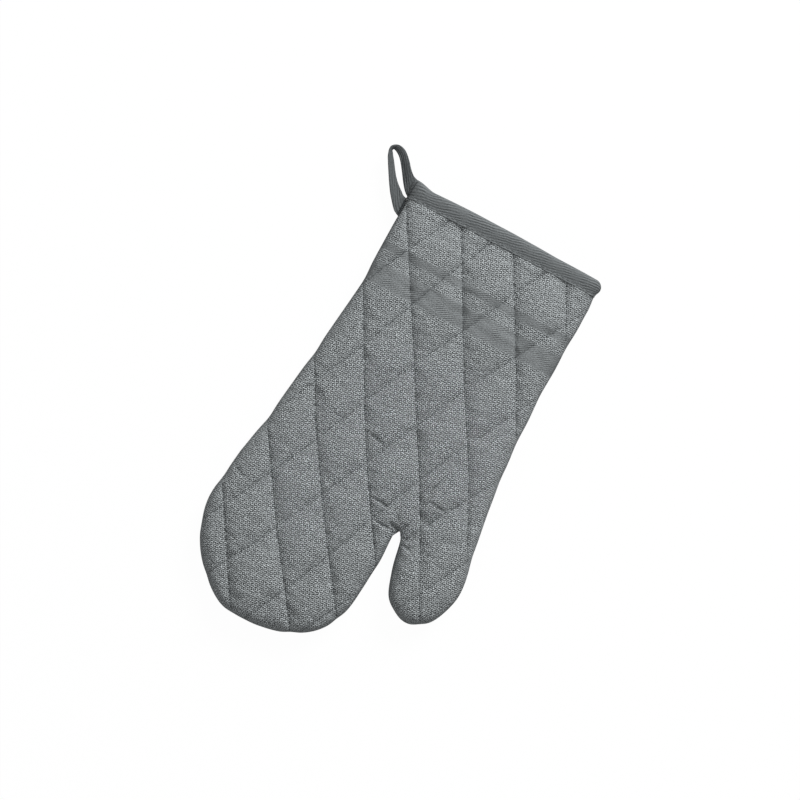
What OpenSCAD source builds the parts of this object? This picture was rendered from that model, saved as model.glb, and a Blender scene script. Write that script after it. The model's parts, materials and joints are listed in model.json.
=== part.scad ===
// Quilted oven mitt, lying flat with the palm up: sewn front and back panels
// of outer cloth, wadding and lining, a bound cuff and a tape hanging loop.
// Millimetres. +Y points to the cuff, +X to the thumb side, +Z up.

/* [Hand and cuff] */
// Width across the cuff, flat
cuff_w = 146; // [120:1:176]
// Crotch of the thumb to the cuff's edge
palm_len = 221; // [180:1:260]
// How far the little-finger side swells out beyond the cuff
palm_swell = 20; // [8:1:32]
// How far the thumb side swells out beyond the cuff, at the crotch
thumb_swell = 12.5; // [6:0.5:20]

/* [Finger pocket] */
// Crotch to the fingertips
finger_len = 101.5; // [80:0.5:130]
// Widest part of the finger pocket
finger_w = 125; // [100:1:140]

/* [Thumb pocket] */
// Crotch to the tip of the thumb
thumb_len = 50; // [40:1:70]
// Widest part of the thumb pocket
thumb_w = 52; // [42:1:60]
// Crotch's distance from the middle of the cuff
crotch_x = 29.5; // [20:0.5:36]
// Slope of the thumb's fold line against the cuff, degrees
thumb_fold = 19; // [8:1:24]

/* [Layers] */
// Outer cloth
outer_t = 0.8; // [0.5:0.1:1.2]
// Wadding, in the middle of a panel
wadding_t = 4; // [2.5:0.1:6]
// Lining cloth
lining_t = 0.7; // [0.4:0.1:1]
// Height of the pocket inside, in the middle
pocket_h = 14; // [8:1:22]
// Run in from the seam over which the panels swell to full height
swell_run = 40; // [26:1:52]

/* [Quilting] */
// Spacing of the quilting lines, measured along the cuff
quilt_step = 38.6; // [28:0.1:54]
// Lean of the lines that run down to the thumb side, degrees
quilt_lean = 29.5; // [20:0.5:40]
// Lean of the lines that cross them, down to the other side, degrees
cross_lean = 26; // [20:0.5:40]
// One crossing of the lines: out from the middle of the cuff
quilt_x = 3.5; // [-30:0.5:30]
// The same crossing: down from the cuff's edge
quilt_y = 75; // [30:1:120]
// Quilting thread, across
thread_w = 0.9; // [0.6:0.1:1.4]

/* [Cuff binding] */
// Width of the binding over the cuff
binding_w = 12; // [8:0.5:18]
// Tape of the binding
binding_t = 0.8; // [0.5:0.1:1.2]

/* [Hanging loop] */
// Root of the loop to its tip
loop_len = 35.5; // [28:0.5:60]
// Folded width of each leg of the loop
loop_leg_w = 5.2; // [4:0.1:8]
// Clear width inside the loop
loop_gap = 6.4; // [6:0.1:9]
// Lean of the loop up from straight out of the side, degrees
loop_lean = 50; // [25:1:60]
// Folded thickness of the loop's tape
loop_t = 2; // [1.4:0.1:3]

/* [Hidden] */
// Clearance between two bodies that fold or swing
fold_gap = 0.3;
// Wadding and half the seam allowance, pressed flat at the seam
pressed_wadding = 0.4;
allowance_half = 0.8;
// Wadding under the binding
cuff_wadding = min(1.6, wadding_t);
// Clearance between the binding and the cloth it folds over
bind_clear = 0.05;
// Extra half height of the mouth at its two sides
mouth_lift = 2.2;
// Lead-in over which the wall thins toward the binding
cuff_run = 22;
// Thread standing off the cloth, and how high it stands
thread_lift = 0.05;
thread_h = 0.6 * thread_w;
// Bare cloth between a quilting thread's end and the seam, a fold or the binding
thread_margin = 3;
// Least space between two places where a thread bends over the cloth
thread_space = 0.3;
// Stitches along the binding
stitch_len = 3;
stitch_step = 4.2;
stitch_h = 0.4;
// Tack that sews the loop's ends to the side of the cuff
tack_t = 0.8;
// Share of the pocket that lies below the seam's plane
pocket_below = 0.25;
// How far the thumb side draws in at the wrist, and swells out again past the fold
waist_in = 1.5;
thumb_bulge = 5;
// How far the finger pocket and the thumb start from the crotch, along their fold lines
finger_start = 1.2;
thumb_start = 1.6;
// Room between the crotch and the widest line of the finger pocket
finger_side = 1.5;
// Spans down each side, and how far the sides' lines run on past the cuff
side_steps = 12;
run_on = 40;
// Share of the rim's width taken by the cloth that turns in to the seam
rim_share = 0.8;
// Clearance round the seam allowance
strip_clear = 0.05;
// Middle of the loop's root below the cuff's edge
loop_drop = 12;

wall_t = outer_t + wadding_t + lining_t;
edge_h = outer_t + pressed_wadding + lining_t + allowance_half;
back_h = wall_t + pocket_h * pocket_below;
front_h = wall_t + pocket_h * (1 - pocket_below);
bind_out = binding_t + bind_clear;
seam_z = back_h;
half_cuff = cuff_w / 2;
bind_y = palm_len - binding_w;

// ---- small helpers ----
function mix(a, b, t) = a + (b - a) * t;
function ease(t) = let(k = min(1, max(0, t))) k * k * (3 - 2 * k);
// Point on a smooth curve through the list p, at t counted in its spans
function curve(p, t) =
  let(n = len(p) - 1)
  let(i = min(n - 1, max(0, floor(t))))
  let(s = t - i)
  let(a = i > 0 ? p[i - 1] : 2 * p[0] - p[1])
  let(b = p[i])
  let(c = p[i + 1])
  let(d = i + 2 <= n ? p[i + 2] : 2 * p[n] - p[n - 1])
  b + (c - a) * s / 2 + (2 * a - 5 * b + 4 * c - d) * s * s / 2
  + (3 * b - a - 3 * c + d) * s * s * s / 2;
function seg_dist(q, a, b) =
  let(ab = b - a)
  let(t = min(1, max(0, (q - a) * ab / (ab * ab))))
  norm(q - a - ab * t);

// ---- the outline, from the cuff down one side and back up the other ----
// The thumb crotch lies on y = 0 and the middle of the cuff on x = 0.
function fall(y) = max(0, (bind_y - y) / bind_y);
function left_x(y) = -half_cuff - palm_swell * pow(fall(y), 2);
function waist(y) = y > 0 ? waist_in * sin(180 * fall(y)) : 0;
function right_x(y) = half_cuff + thumb_swell * pow(fall(y), 4) - waist(y);

crotch = [crotch_x, 0];
fold_along = [cos(thumb_fold), sin(thumb_fold)];
fold_out = [sin(thumb_fold), -cos(thumb_fold)];
// Where the thumb's fold line meets the side
function fold_end(y, n) = n == 0 ? y : fold_end(tan(thumb_fold) * (right_x(y) - crotch_x), n - 1);
thumb_y = fold_end(15, 6);
thumb_end = [right_x(thumb_y), thumb_y];

finger_r = crotch_x - finger_side;
function finger_pt(across, down) = [finger_r - finger_w * (1 - across), -finger_len * down];
finger_pts = [
  [left_x(0), -fold_gap],
  finger_pt(0, 0.4),
  finger_pt(0.09, 0.71),
  finger_pt(0.29, 0.95),
  finger_pt(0.48, 1),
  finger_pt(0.78, 0.915),
  finger_pt(0.95, 0.68),
  finger_pt(1, 0.27),
  [crotch_x - finger_start, -fold_gap]
];

thumb_r = thumb_end[0] + thumb_bulge;
thumb_l = thumb_r - thumb_w;
function thumb_pt(across, down) = [thumb_l + thumb_w * across, -thumb_len * down];
thumb_pts = [
  crotch + fold_along * thumb_start + fold_out * fold_gap,
  thumb_pt(0.08, 0.5),
  thumb_pt(0.23, 0.84),
  thumb_pt(0.5, 1),
  thumb_pt(0.8, 0.88),
  thumb_pt(0.97, 0.52),
  thumb_pt(1, 0.15),
  thumb_end + fold_out * fold_gap
];

side_top = palm_len + run_on;
seam_line = concat(
  [for (i = [0:side_steps]) let(y = mix(side_top, 0, i / side_steps)) [left_x(y), y]],
  [for (t = [0.25:0.25:7.75]) curve(finger_pts, t)],
  [crotch],
  [for (t = [0.25:0.25:6.75]) curve(thumb_pts, t)],
  [for (i = [0:side_steps]) let(y = mix(thumb_y, side_top, i / side_steps)) [right_x(y), y]]
);

// Distance in from the seam
function inset(q) =
  min([for (i = [0:len(seam_line) - 2]) seg_dist(q, seam_line[i], seam_line[i + 1])]);
// 0 in the hand, 1 under the binding
function near_cuff(y) = ease((y - bind_y + cuff_run) / cuff_run);
function middle_wadding(y) = mix(wadding_t, cuff_wadding, near_cuff(y));
// Full height of a panel's outside from the seam: side is 1 for the front, -1 for the back
function top_h(side, y) = side > 0
  ? front_h - wadding_t + middle_wadding(y)
  : back_h - mix(thread_lift + thread_h, bind_out, near_cuff(y));
// Height of a panel's outside from the seam's plane
function outside(q, side) =
  let(k = 1 - min(1, inset(q) / swell_run))
  let(low = edge_h + mouth_lift * near_cuff(q[1]))
  mix(low, top_h(side, q[1]), sqrt(1 - k * k));
// The same for the faces of the layers: 0 is the outside, 3 the face against the hand
function face_h(q, side, face) =
  let(h = outside(q, side))
  let(share = min(1, (h - edge_h) / (top_h(side, q[1]) - edge_h)))
  let(w = mix(pressed_wadding, middle_wadding(q[1]), share))
  h - (face > 0 ? outer_t : 0) - (face > 1 ? w : 0) - (face > 2 ? lining_t : 0);

// ---- three blocks, each a net of points between four edges ----
// An edge is a list of equally many points as the net has rows or columns.
function coons(top, bottom, left, right, us, vs) =
  [for (i = [0:len(us) - 1]) [for (j = [0:len(vs) - 1])
    let(u = us[i])
    let(v = vs[j])
    mix(top[j], bottom[j], u) + mix(left[i], right[i], v)
    - mix(mix(top[0], bottom[0], u), mix(top[len(vs) - 1], bottom[len(vs) - 1], u), v)]];

hand_us = [0, binding_w / palm_len, 0.1, 0.19, 0.29, 0.4, 0.51, 0.62,
           0.72, 0.81, 0.88, 0.94, 0.98, 1];
hand_vs = [0, 0.007, 0.022, 0.05, 0.1, 0.17, 0.27, 0.38, 0.49, 0.58, 0.645,
           0.69, 0.735, 0.78, 0.83, 0.9, 0.95, 0.978, 0.993, 1];
crotch_col = 11;
crotch_v = hand_vs[crotch_col];
function hand_foot(v) = v <= crotch_v
  ? mix([left_x(0), 0], crotch, v / crotch_v)
  : mix(crotch, thumb_end, (v - crotch_v) / (1 - crotch_v));
hand_net = coons(
  [for (v = hand_vs) [mix(-half_cuff, half_cuff, v), palm_len]],
  [for (v = hand_vs) hand_foot(v)],
  [for (u = hand_us) let(y = palm_len * (1 - u)) [left_x(y), y]],
  [for (u = hand_us) let(y = mix(palm_len, thumb_y, u)) [right_x(y), y]],
  hand_us, hand_vs);

pocket_vs = [0, 0.009, 0.03, 0.07, 0.13, 0.2, 0.28, 0.36, 0.43, 0.5,
             0.57, 0.64, 0.72, 0.8, 0.87, 0.93, 0.97, 0.991, 1];
finger_us = [0, 0.15, 0.32, 0.48, 0.62, 0.74, 0.84, 0.91, 0.96, 0.988, 1];
finger_net = coons(
  [for (v = pocket_vs) mix(finger_pts[0], finger_pts[8], v)],
  [for (v = pocket_vs) curve(finger_pts, mix(2, 6, v))],
  [for (u = finger_us) curve(finger_pts, 2 * u)],
  [for (u = finger_us) curve(finger_pts, 8 - 2 * u)],
  finger_us, pocket_vs);

thumb_vs = [0, 0.02, 0.07, 0.16, 0.3, 0.5, 0.7, 0.84, 0.93, 0.98, 1];
thumb_us = [0, 0.14, 0.3, 0.46, 0.61, 0.75, 0.86, 0.94, 0.98, 1];
thumb_net = coons(
  [for (v = thumb_vs) mix(thumb_pts[0], thumb_pts[7], v)],
  [for (v = thumb_vs) curve(thumb_pts, mix(2, 4, v))],
  [for (u = thumb_us) curve(thumb_pts, 2 * u)],
  [for (u = thumb_us) curve(thumb_pts, 7 - 3 * u)],
  thumb_us, thumb_vs);

// The net without its rim: the rim runs down both sides, and round the tip when tip is 1
function core(net, tip) =
  [for (i = [0:len(net) - 1 - tip]) [for (j = [1:len(net[0]) - 2]) net[i][j]]];
// A face of a layer over a net: side is 1 for the front, -1 for the back
function at_face(q, side, face) = [q[0], q[1], seam_z + side * face_h(q, side, face)];
function lift(net, side, face) = [for (row = net) [for (q = row) at_face(q, side, face)]];
function on_seam(q) = [q[0], q[1], seam_z];
// A face with the rim turned down to the seam: in is the share of the rim's width it stands in
function with_rim(net, face, tip, in) =
  let(n = len(net) - 1)
  let(m = len(net[0]) - 1)
  [for (i = [0:n]) [for (j = [0:m])
    let(inner_i = min(i, n - tip))
    let(inner_j = min(max(j, 1), m - 1))
    inner_i == i && inner_j == j ? face[i][j - 1]
    : on_seam(mix(net[i][j], net[inner_i][inner_j], in))]];

// Solid between two equal nets, the first one above
module slab(upper, lower) {
  n = len(upper);
  m = len(upper[0]);
  all_points = concat([for (row = upper) each row], [for (row = lower) each row]);
  k = n * m;
  faces = concat(
    [for (i = [0:n - 2]) for (j = [0:m - 2]) let(a = i * m + j) each [
      [a, a + 1, a + m + 1], [a, a + m + 1, a + m],
      [k + a, k + a + m + 1, k + a + 1], [k + a, k + a + m, k + a + m + 1]]],
    [for (j = [0:m - 2]) each [[j, k + j, k + j + 1], [j, k + j + 1, j + 1]]],
    [for (j = [0:m - 2]) let(a = (n - 1) * m + j) each [
      [a, a + 1, k + a + 1], [a, k + a + 1, k + a]]],
    [for (i = [0:n - 2]) let(a = i * m) each [[a, a + m, k + a + m], [a, k + a + m, k + a]]],
    [for (i = [0:n - 2]) let(a = i * m + m - 1) each [
      [a, k + a, k + a + m], [a, k + a + m, a + m]]]);
  polyhedron(points = all_points, faces = faces, convexity = 6);
}
// One layer of a panel, from the outside face to the face under it
module layer(net, side, number, tip) {
  inner = core(net, tip);
  above = lift(inner, side, number);
  below = lift(inner, side, number + 1);
  out_net = number == 0 ? with_rim(net, above, tip, 0) : above;
  in_net = number == 0 ? with_rim(net, below, tip, rim_share) : below;
  if (side > 0) slab(out_net, in_net);
  else slab(in_net, out_net);
}

// ---- the seam allowance, a turned strip between the two linings ----
// Pairs of points across the strip, from a run of rim points and points further in
function side_pairs(net, col, further, first) =
  [for (i = [first:len(net) - 1]) [net[i][col], net[i][further]]];
function tip_pairs(net) =
  let(n = len(net) - 1)
  let(m = len(net[0]) - 1)
  concat(
    [for (i = [0:n - 4]) [net[i][1], net[i][3]]],
    [[net[n - 3][1], mix(net[n - 4][3], net[n - 3][3], 0.6)]],
    [[net[n - 1][1], net[n - 3][3]]],
    [[net[n - 1][3], mix(net[n - 3][3], net[n - 3][4], 0.4)]],
    [for (j = [4:m - 4]) [net[n - 1][j], net[n - 3][j]]],
    [[net[n - 1][m - 3], mix(net[n - 3][m - 3], net[n - 3][m - 4], 0.4)]],
    [[net[n - 1][m - 1], net[n - 3][m - 3]]],
    [[net[n - 3][m - 1], mix(net[n - 4][m - 3], net[n - 3][m - 3], 0.6)]],
    [for (i = [n - 4:-1:0]) [net[i][m - 1], net[i][m - 3]]]);
// A slab two points wide. flip is true where the seam lies to the right of the strip
module strip(pairs, flip) {
  half = allowance_half - strip_clear;
  rows = [for (p = pairs) flip ? [p[1], p[0]] : p];
  slab(
    [for (r = rows) [for (q = r) [q[0], q[1], seam_z + half]]],
    [for (r = rows) [for (q = r) [q[0], q[1], seam_z - half]]]);
}

// ---- quilting thread ----
function sorted(list) = len(list) < 2 ? list :
  let(pivot = list[0])
  concat(
    sorted([for (x = list) if (x < pivot) x]),
    [pivot],
    sorted([for (i = [1:len(list) - 1]) if (list[i] >= pivot) list[i]]));
function ring_of(net) =
  let(n = len(net) - 1)
  let(m = len(net[0]) - 1)
  concat(
    [for (j = [0:m]) net[0][j]],
    [for (i = [1:n]) net[i][m]],
    [for (j = [m - 1:-1:0]) net[n][j]],
    [for (i = [n - 1:-1:1]) net[i][0]]);
quilt_at = [quilt_x, palm_len - quilt_y];
function line_lean(way) = way > 0 ? quilt_lean : cross_lean;
function line_pitch(way) = quilt_step * cos(line_lean(way));
// Direction of a family of lines, and square to it: way is 1 for one family, -1 for the other
function line_dir(way) = [way * sin(line_lean(way)), -cos(line_lean(way))];
function line_side(way) = [cos(line_lean(way)), way * sin(line_lean(way))];
function line_off(way, k) = quilt_at * line_side(way) + k * line_pitch(way);
// Where a line crosses the edge of a block, as sorted distances along it
function crossings(ring, way, off) = sorted(
  [for (i = [0:len(ring) - 1])
    let(a = ring[i])
    let(b = ring[(i + 1) % len(ring)])
    let(fa = a * line_side(way) - off)
    let(fb = b * line_side(way) - off)
    if (fa * fb < 0) mix(a, b, fa / (fa - fb)) * line_dir(way)]);
// Where a line crosses the sides of a face's triangles: pairs of distance along it and height
function over_edge(a, b, way, off) =
  let(fa = [a[0], a[1]] * line_side(way) - off)
  let(fb = [b[0], b[1]] * line_side(way) - off)
  fa * fb > 0 || fa == fb ? [] :
    let(p = mix(a, b, fa / (fa - fb)))
    [[[p[0], p[1]] * line_dir(way), p[2]]];
function over_face(face, way, off) =
  let(n = len(face) - 1)
  let(m = len(face[0]) - 1)
  [for (i = [0:n]) for (j = [0:m]) each concat(
    j < m ? over_edge(face[i][j], face[i][j + 1], way, off) : [],
    i < n ? over_edge(face[i][j], face[i + 1][j], way, off) : [],
    i < n && j < m ? over_edge(face[i][j], face[i + 1][j + 1], way, off) : [])];
line_count = ceil(norm([cuff_w, palm_len + finger_len]) / min(line_pitch(1), line_pitch(-1)));
// The second family is cut where it meets the first, so no two threads share room
function cut_points(way, off, from, to) = way > 0 ? [] : sorted(
  [for (k = [-line_count:line_count])
    let(s = (line_off(1, k) - off * (line_side(1) * line_side(-1))) / (line_side(1) * line_dir(-1)))
    if (s > from && s < to) s]);
// Each run of thread over a face: its family, its line, its two ends and the heights under the line
function thread_runs(face, ring) =
  [for (way = [1, -1]) for (k = [-line_count:line_count])
    let(off = line_off(way, k))
    let(s = crossings(ring, way, off))
    if (len(s) > 1)
      let(under = over_face(face, way, off))
      for (e = [0:2:len(s) - 2])
        let(cuts = cut_points(way, off, s[e], s[e + 1]))
        let(ends = concat([s[e] + thread_margin - thread_w], cuts, [s[e + 1] - thread_margin + thread_w]))
        for (c = [0:len(ends) - 2])
          let(from = ends[c] + thread_w)
          let(to = ends[c + 1] - thread_w)
          if (to - from > 4) [way, off, from, to, under]];
// One run of thread: a bar of three sides, its lowest edge along the cloth
module thread(run, side) {
  way = run[0];
  from = run[2];
  to = run[3];
  bends = sorted([for (u = run[4]) if (u[0] > from + thread_space && u[0] < to - thread_space) u[0]]);
  along = concat(
    [from],
    [for (i = [0:1:len(bends) - 1]) if (i == 0 || bends[i] - bends[i - 1] > thread_space) bends[i]],
    [to]);
  half = line_side(way) * thread_w / 2;
  stations = [for (s = along)
    let(q = line_side(way) * run[1] + line_dir(way) * s)
    let(base = lookup(s, run[4]) + side * thread_lift)
    [[q[0] + half[0], q[1] + half[1], base + side * thread_h],
     [q[0] - half[0], q[1] - half[1], base + side * thread_h],
     [q[0], q[1], base]]];
  count = len(along) - 1;
  k = 3 * count;
  turned = [for (i = [0:count - 1]) for (j = [0:2])
    let(a = 3 * i + j)
    let(b = 3 * i + (j + 1) % 3)
    each [[a, b, b + 3], [a, b + 3, a + 3]]];
  faces = concat(turned, [[0, 2, 1], [k, k + 1, k + 2]]);
  out = (side > 0) ? faces : [for (f = faces) [f[0], f[2], f[1]]];
  polyhedron(points = [for (s = stations) each s], faces = out, convexity = 4);
}
// Quilting over a block. first is the first row of its net that isn't under the binding
module quilting(net, tip, side, first) {
  open_net = [for (i = [first:len(net) - 1]) net[i]];
  bare = core(open_net, tip);
  for (run = thread_runs(lift(bare, side, 0), ring_of(bare))) thread(run, side);
}

// ---- the cuff's binding: a tape folded over the edge, all round the mouth ----
last_col = len(hand_vs) - 1;
// Stations round the mouth on one row of the hand's net: the front from left to
// right, the right side, the back from right to left, the left side.
// grow moves them off the face: outward for face 0, into the mouth for face 3.
function mouth_col(row, j, side, face, grow) =
  let(q = hand_net[row][j])
  let(p = at_face(q, side, face))
  let(turn_in = face > 0 ? (j == 1 ? grow : j == last_col - 1 ? -grow : 0) : 0)
  [p[0] + turn_in, p[1], p[2] + (face > 0 ? -grow : grow) * side];
function mouth_side(row, j, face, grow) =
  let(right = j > 1)
  let(q = face > 0 ? hand_net[row][right ? j - 1 : 1] : hand_net[row][right ? j : 0])
  let(out = (face > 0 ? -grow : grow) * (right ? 1 : -1))
  [q[0] + out, q[1], seam_z];
function mouth_ring(row, face, grow) = concat(
  [for (j = [1:last_col - 1]) mouth_col(row, j, 1, face, grow)],
  [mouth_side(row, last_col, face, grow)],
  [for (j = [last_col - 1:-1:1]) mouth_col(row, j, -1, face, grow)],
  [mouth_side(row, 0, face, grow)]);
function to_y(ring, y) = [for (p = ring) [p[0], y, p[2]]];
module binding_tape() {
  bind_top = palm_len + binding_t;
  rings = [
    mouth_ring(1, 0, bind_out),
    to_y(mouth_ring(0, 0, bind_out), bind_top),
    to_y(mouth_ring(0, 3, bind_out), bind_top),
    mouth_ring(1, 3, bind_out),
    mouth_ring(1, 3, bind_clear),
    mouth_ring(0, 3, bind_clear),
    mouth_ring(0, 0, bind_clear),
    mouth_ring(1, 0, bind_clear)
  ];
  n = len(rings);
  m = len(rings[0]);
  // Past a side station the cut runs the other way, so no triangle comes out flat
  faces = [for (i = [0:n - 1]) for (j = [0:m - 1])
    let(a = i * m + j)
    let(b = i * m + (j + 1) % m)
    let(c = ((i + 1) % n) * m + (j + 1) % m)
    let(d = ((i + 1) % n) * m + j)
    let(past_side = j == last_col - 1 || j == m - 1)
    each (past_side ? [[a, b, d], [b, c, d]] : [[a, b, c], [a, c, d]])];
  polyhedron(points = [for (r = rings) each r], faces = faces, convexity = 6);
}
// One stitch of the binding's lower edge, laid on the tape from x0 to x1
function tape_z(x, y) =
  let(top = to_y(mouth_ring(1, 0, bind_out), y))
  let(j = max([for (i = [0:last_col - 2]) if (top[i][0] <= x) i]))
  let(t = (x - top[j][0]) / (top[j + 1][0] - top[j][0]))
  mix(top[j][2], top[j + 1][2], t);
module tape_stitch(x, y) {
  end_z = [tape_z(x, y), tape_z(x + stitch_len, y)];
  crown = max([for (t = [0:0.1:1]) tape_z(x + stitch_len * t, y) - mix(end_z[0], end_z[1], t)]);
  z0 = end_z[0] + crown + thread_lift;
  z1 = end_z[1] + crown + thread_lift;
  half = thread_w / 2;
  ends = [[x, z0], [x + stitch_len, z1]];
  slab(
    [for (e = ends) [[e[0], y - half, e[1] + stitch_h], [e[0], y + half, e[1] + stitch_h]]],
    [for (e = ends) [[e[0], y - half, e[1]], [e[0], y + half, e[1]]]]);
}

// ---- the hanging loop and the tack that holds it ----
half_leg_turn = loop_t / 2;
tack_x = -half_cuff - bind_out - tack_t;
loop_x = tack_x - fold_gap - half_leg_turn;
loop_y = palm_len - loop_drop;
loop_root = [loop_x, loop_y];
loop_out = [-cos(loop_lean), sin(loop_lean)];
loop_side = [sin(loop_lean), cos(loop_lean)];
loop_half = loop_gap / 2 + loop_leg_w;
tip_leg = loop_leg_w / 2;
tip_at = loop_len - tip_leg - loop_gap / 2;
function loop_pt(s, w) = loop_root + loop_out * s + loop_side * w;
// Where a line along the loop meets the hinge's line
function loop_foot(w) = loop_pt(w * tan(loop_lean), w);
function loop_shape(root_half, shoulder, tip_r) = concat(
  [loop_foot(-root_half)],
  [loop_pt(loop_len * 0.4, -shoulder)],
  [for (a = [-90:20:90]) loop_pt(tip_at + tip_r * cos(a), tip_r * sin(a))],
  [loop_pt(loop_len * 0.4, shoulder)],
  [loop_foot(root_half)]);
loop_outline = loop_shape(loop_half, loop_half - 0.4, loop_gap / 2 + tip_leg);
loop_hole = loop_shape(loop_gap / 2, loop_gap / 2, loop_gap / 2);
module loop_barrel(w0, w1) {
  from = loop_foot(w0)[1];
  to = loop_foot(w1)[1];
  translate([loop_x, to, seam_z]) rotate([90, 0, 0]) cylinder(h = to - from, r = half_leg_turn, $fn = 24);
}

// ---- the part's middle, so that it stands centred on the origin ----
reach_x = concat([for (p = seam_line) p[0]], [for (p = loop_outline) p[0]]);
reach_y = concat([for (p = seam_line) if (p[1] <= palm_len) p[1]], [palm_len + binding_t],
  [for (p = loop_outline) p[1]]);
middle = [(min(reach_x) + max(reach_x)) / 2, (min(reach_y) + max(reach_y)) / 2];
module placed() translate([-middle[0], -middle[1], 0]) children();

cloth = [0.48, 0.5, 0.5];
fill = [0.93, 0.93, 0.9];
inside = [0.62, 0.63, 0.62];
thread_grey = [0.36, 0.38, 0.38];
tape_grey = [0.33, 0.35, 0.36];

module front_outer_hand() color(cloth) placed() layer(hand_net, 1, 0, 0);
module front_outer_fingers() color(cloth) placed() layer(finger_net, 1, 0, 1);
module front_outer_thumb() color(cloth) placed() layer(thumb_net, 1, 0, 1);
module front_wadding_hand() color(fill) placed() layer(hand_net, 1, 1, 0);
module front_wadding_fingers() color(fill) placed() layer(finger_net, 1, 1, 1);
module front_wadding_thumb() color(fill) placed() layer(thumb_net, 1, 1, 1);
module front_lining_hand() color(inside) placed() layer(hand_net, 1, 2, 0);
module front_lining_fingers() color(inside) placed() layer(finger_net, 1, 2, 1);
module front_lining_thumb() color(inside) placed() layer(thumb_net, 1, 2, 1);
module back_outer_hand() color(cloth) placed() layer(hand_net, -1, 0, 0);
module back_outer_fingers() color(cloth) placed() layer(finger_net, -1, 0, 1);
module back_outer_thumb() color(cloth) placed() layer(thumb_net, -1, 0, 1);
module back_wadding_hand() color(fill) placed() layer(hand_net, -1, 1, 0);
module back_wadding_fingers() color(fill) placed() layer(finger_net, -1, 1, 1);
module back_wadding_thumb() color(fill) placed() layer(thumb_net, -1, 1, 1);
module back_lining_hand() color(inside) placed() layer(hand_net, -1, 2, 0);
module back_lining_fingers() color(inside) placed() layer(finger_net, -1, 2, 1);
module back_lining_thumb() color(inside) placed() layer(thumb_net, -1, 2, 1);
module front_quilting_hand() color(thread_grey) placed() quilting(hand_net, 0, 1, 1);
module front_quilting_fingers() color(thread_grey) placed() quilting(finger_net, 1, 1, 0);
module front_quilting_thumb() color(thread_grey) placed() quilting(thumb_net, 1, 1, 0);
module back_quilting_hand() color(thread_grey) placed() quilting(hand_net, 0, -1, 1);
module back_quilting_fingers() color(thread_grey) placed() quilting(finger_net, 1, -1, 0);
module back_quilting_thumb() color(thread_grey) placed() quilting(thumb_net, 1, -1, 0);
module seam_hand() color(inside) placed() {
  strip(side_pairs(hand_net, 1, 3, 2), false);
  strip(side_pairs(hand_net, last_col - 1, last_col - 3, 2), true);
}
module seam_fingers() color(inside) placed() strip(tip_pairs(finger_net), false);
module seam_thumb() color(inside) placed() strip(tip_pairs(thumb_net), false);
module cuff_binding() color(tape_grey) placed() binding_tape();
module binding_stitch() color(thread_grey) placed() {
  for (x = [-half_cuff + 4:stitch_step:half_cuff - 4 - stitch_len]) tape_stitch(x, bind_y + 1.5);
}
module loop_tack() color(tape_grey) placed() {
  low = loop_foot(-loop_half)[1];
  high = min(loop_foot(loop_half)[1], palm_len);
  translate([0, 0, seam_z - half_leg_turn]) linear_extrude(height = loop_t) polygon([
    [tack_x, low], [-half_cuff - 0.1, low], [-half_cuff - 0.1, bind_y - 0.1],
    [-half_cuff - bind_out, bind_y - 0.1], [-half_cuff - bind_out, high], [tack_x, high]]);
}
module hanging_loop() color(tape_grey) placed() {
  translate([0, 0, seam_z - half_leg_turn]) linear_extrude(height = loop_t) difference() {
    polygon(loop_outline);
    polygon(loop_hole);
  }
  loop_barrel(-loop_half, -loop_gap / 2);
  loop_barrel(loop_gap / 2, loop_half);
}

back_outer_hand();
back_outer_fingers();
back_outer_thumb();
back_wadding_hand();
back_wadding_fingers();
back_wadding_thumb();
back_lining_hand();
back_lining_fingers();
back_lining_thumb();
front_lining_hand();
front_lining_fingers();
front_lining_thumb();
front_wadding_hand();
front_wadding_fingers();
front_wadding_thumb();
front_outer_hand();
front_outer_fingers();
front_outer_thumb();
seam_hand();
seam_fingers();
seam_thumb();
front_quilting_hand();
front_quilting_fingers();
front_quilting_thumb();
back_quilting_hand();
back_quilting_fingers();
back_quilting_thumb();
cuff_binding();
binding_stitch();
loop_tack();
hanging_loop();
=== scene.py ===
"""Looks of the quilted oven mitt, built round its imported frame.

Metres in the frame: +Y to the cuff, +X to the thumb side, +Z up. Shapes are worked out in
millimetres in the mitt's own plan: y = 0 is the crotch between fingers and thumb, and x = 0 is
the middle of the cuff. place() takes them to the frame.
"""

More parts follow.
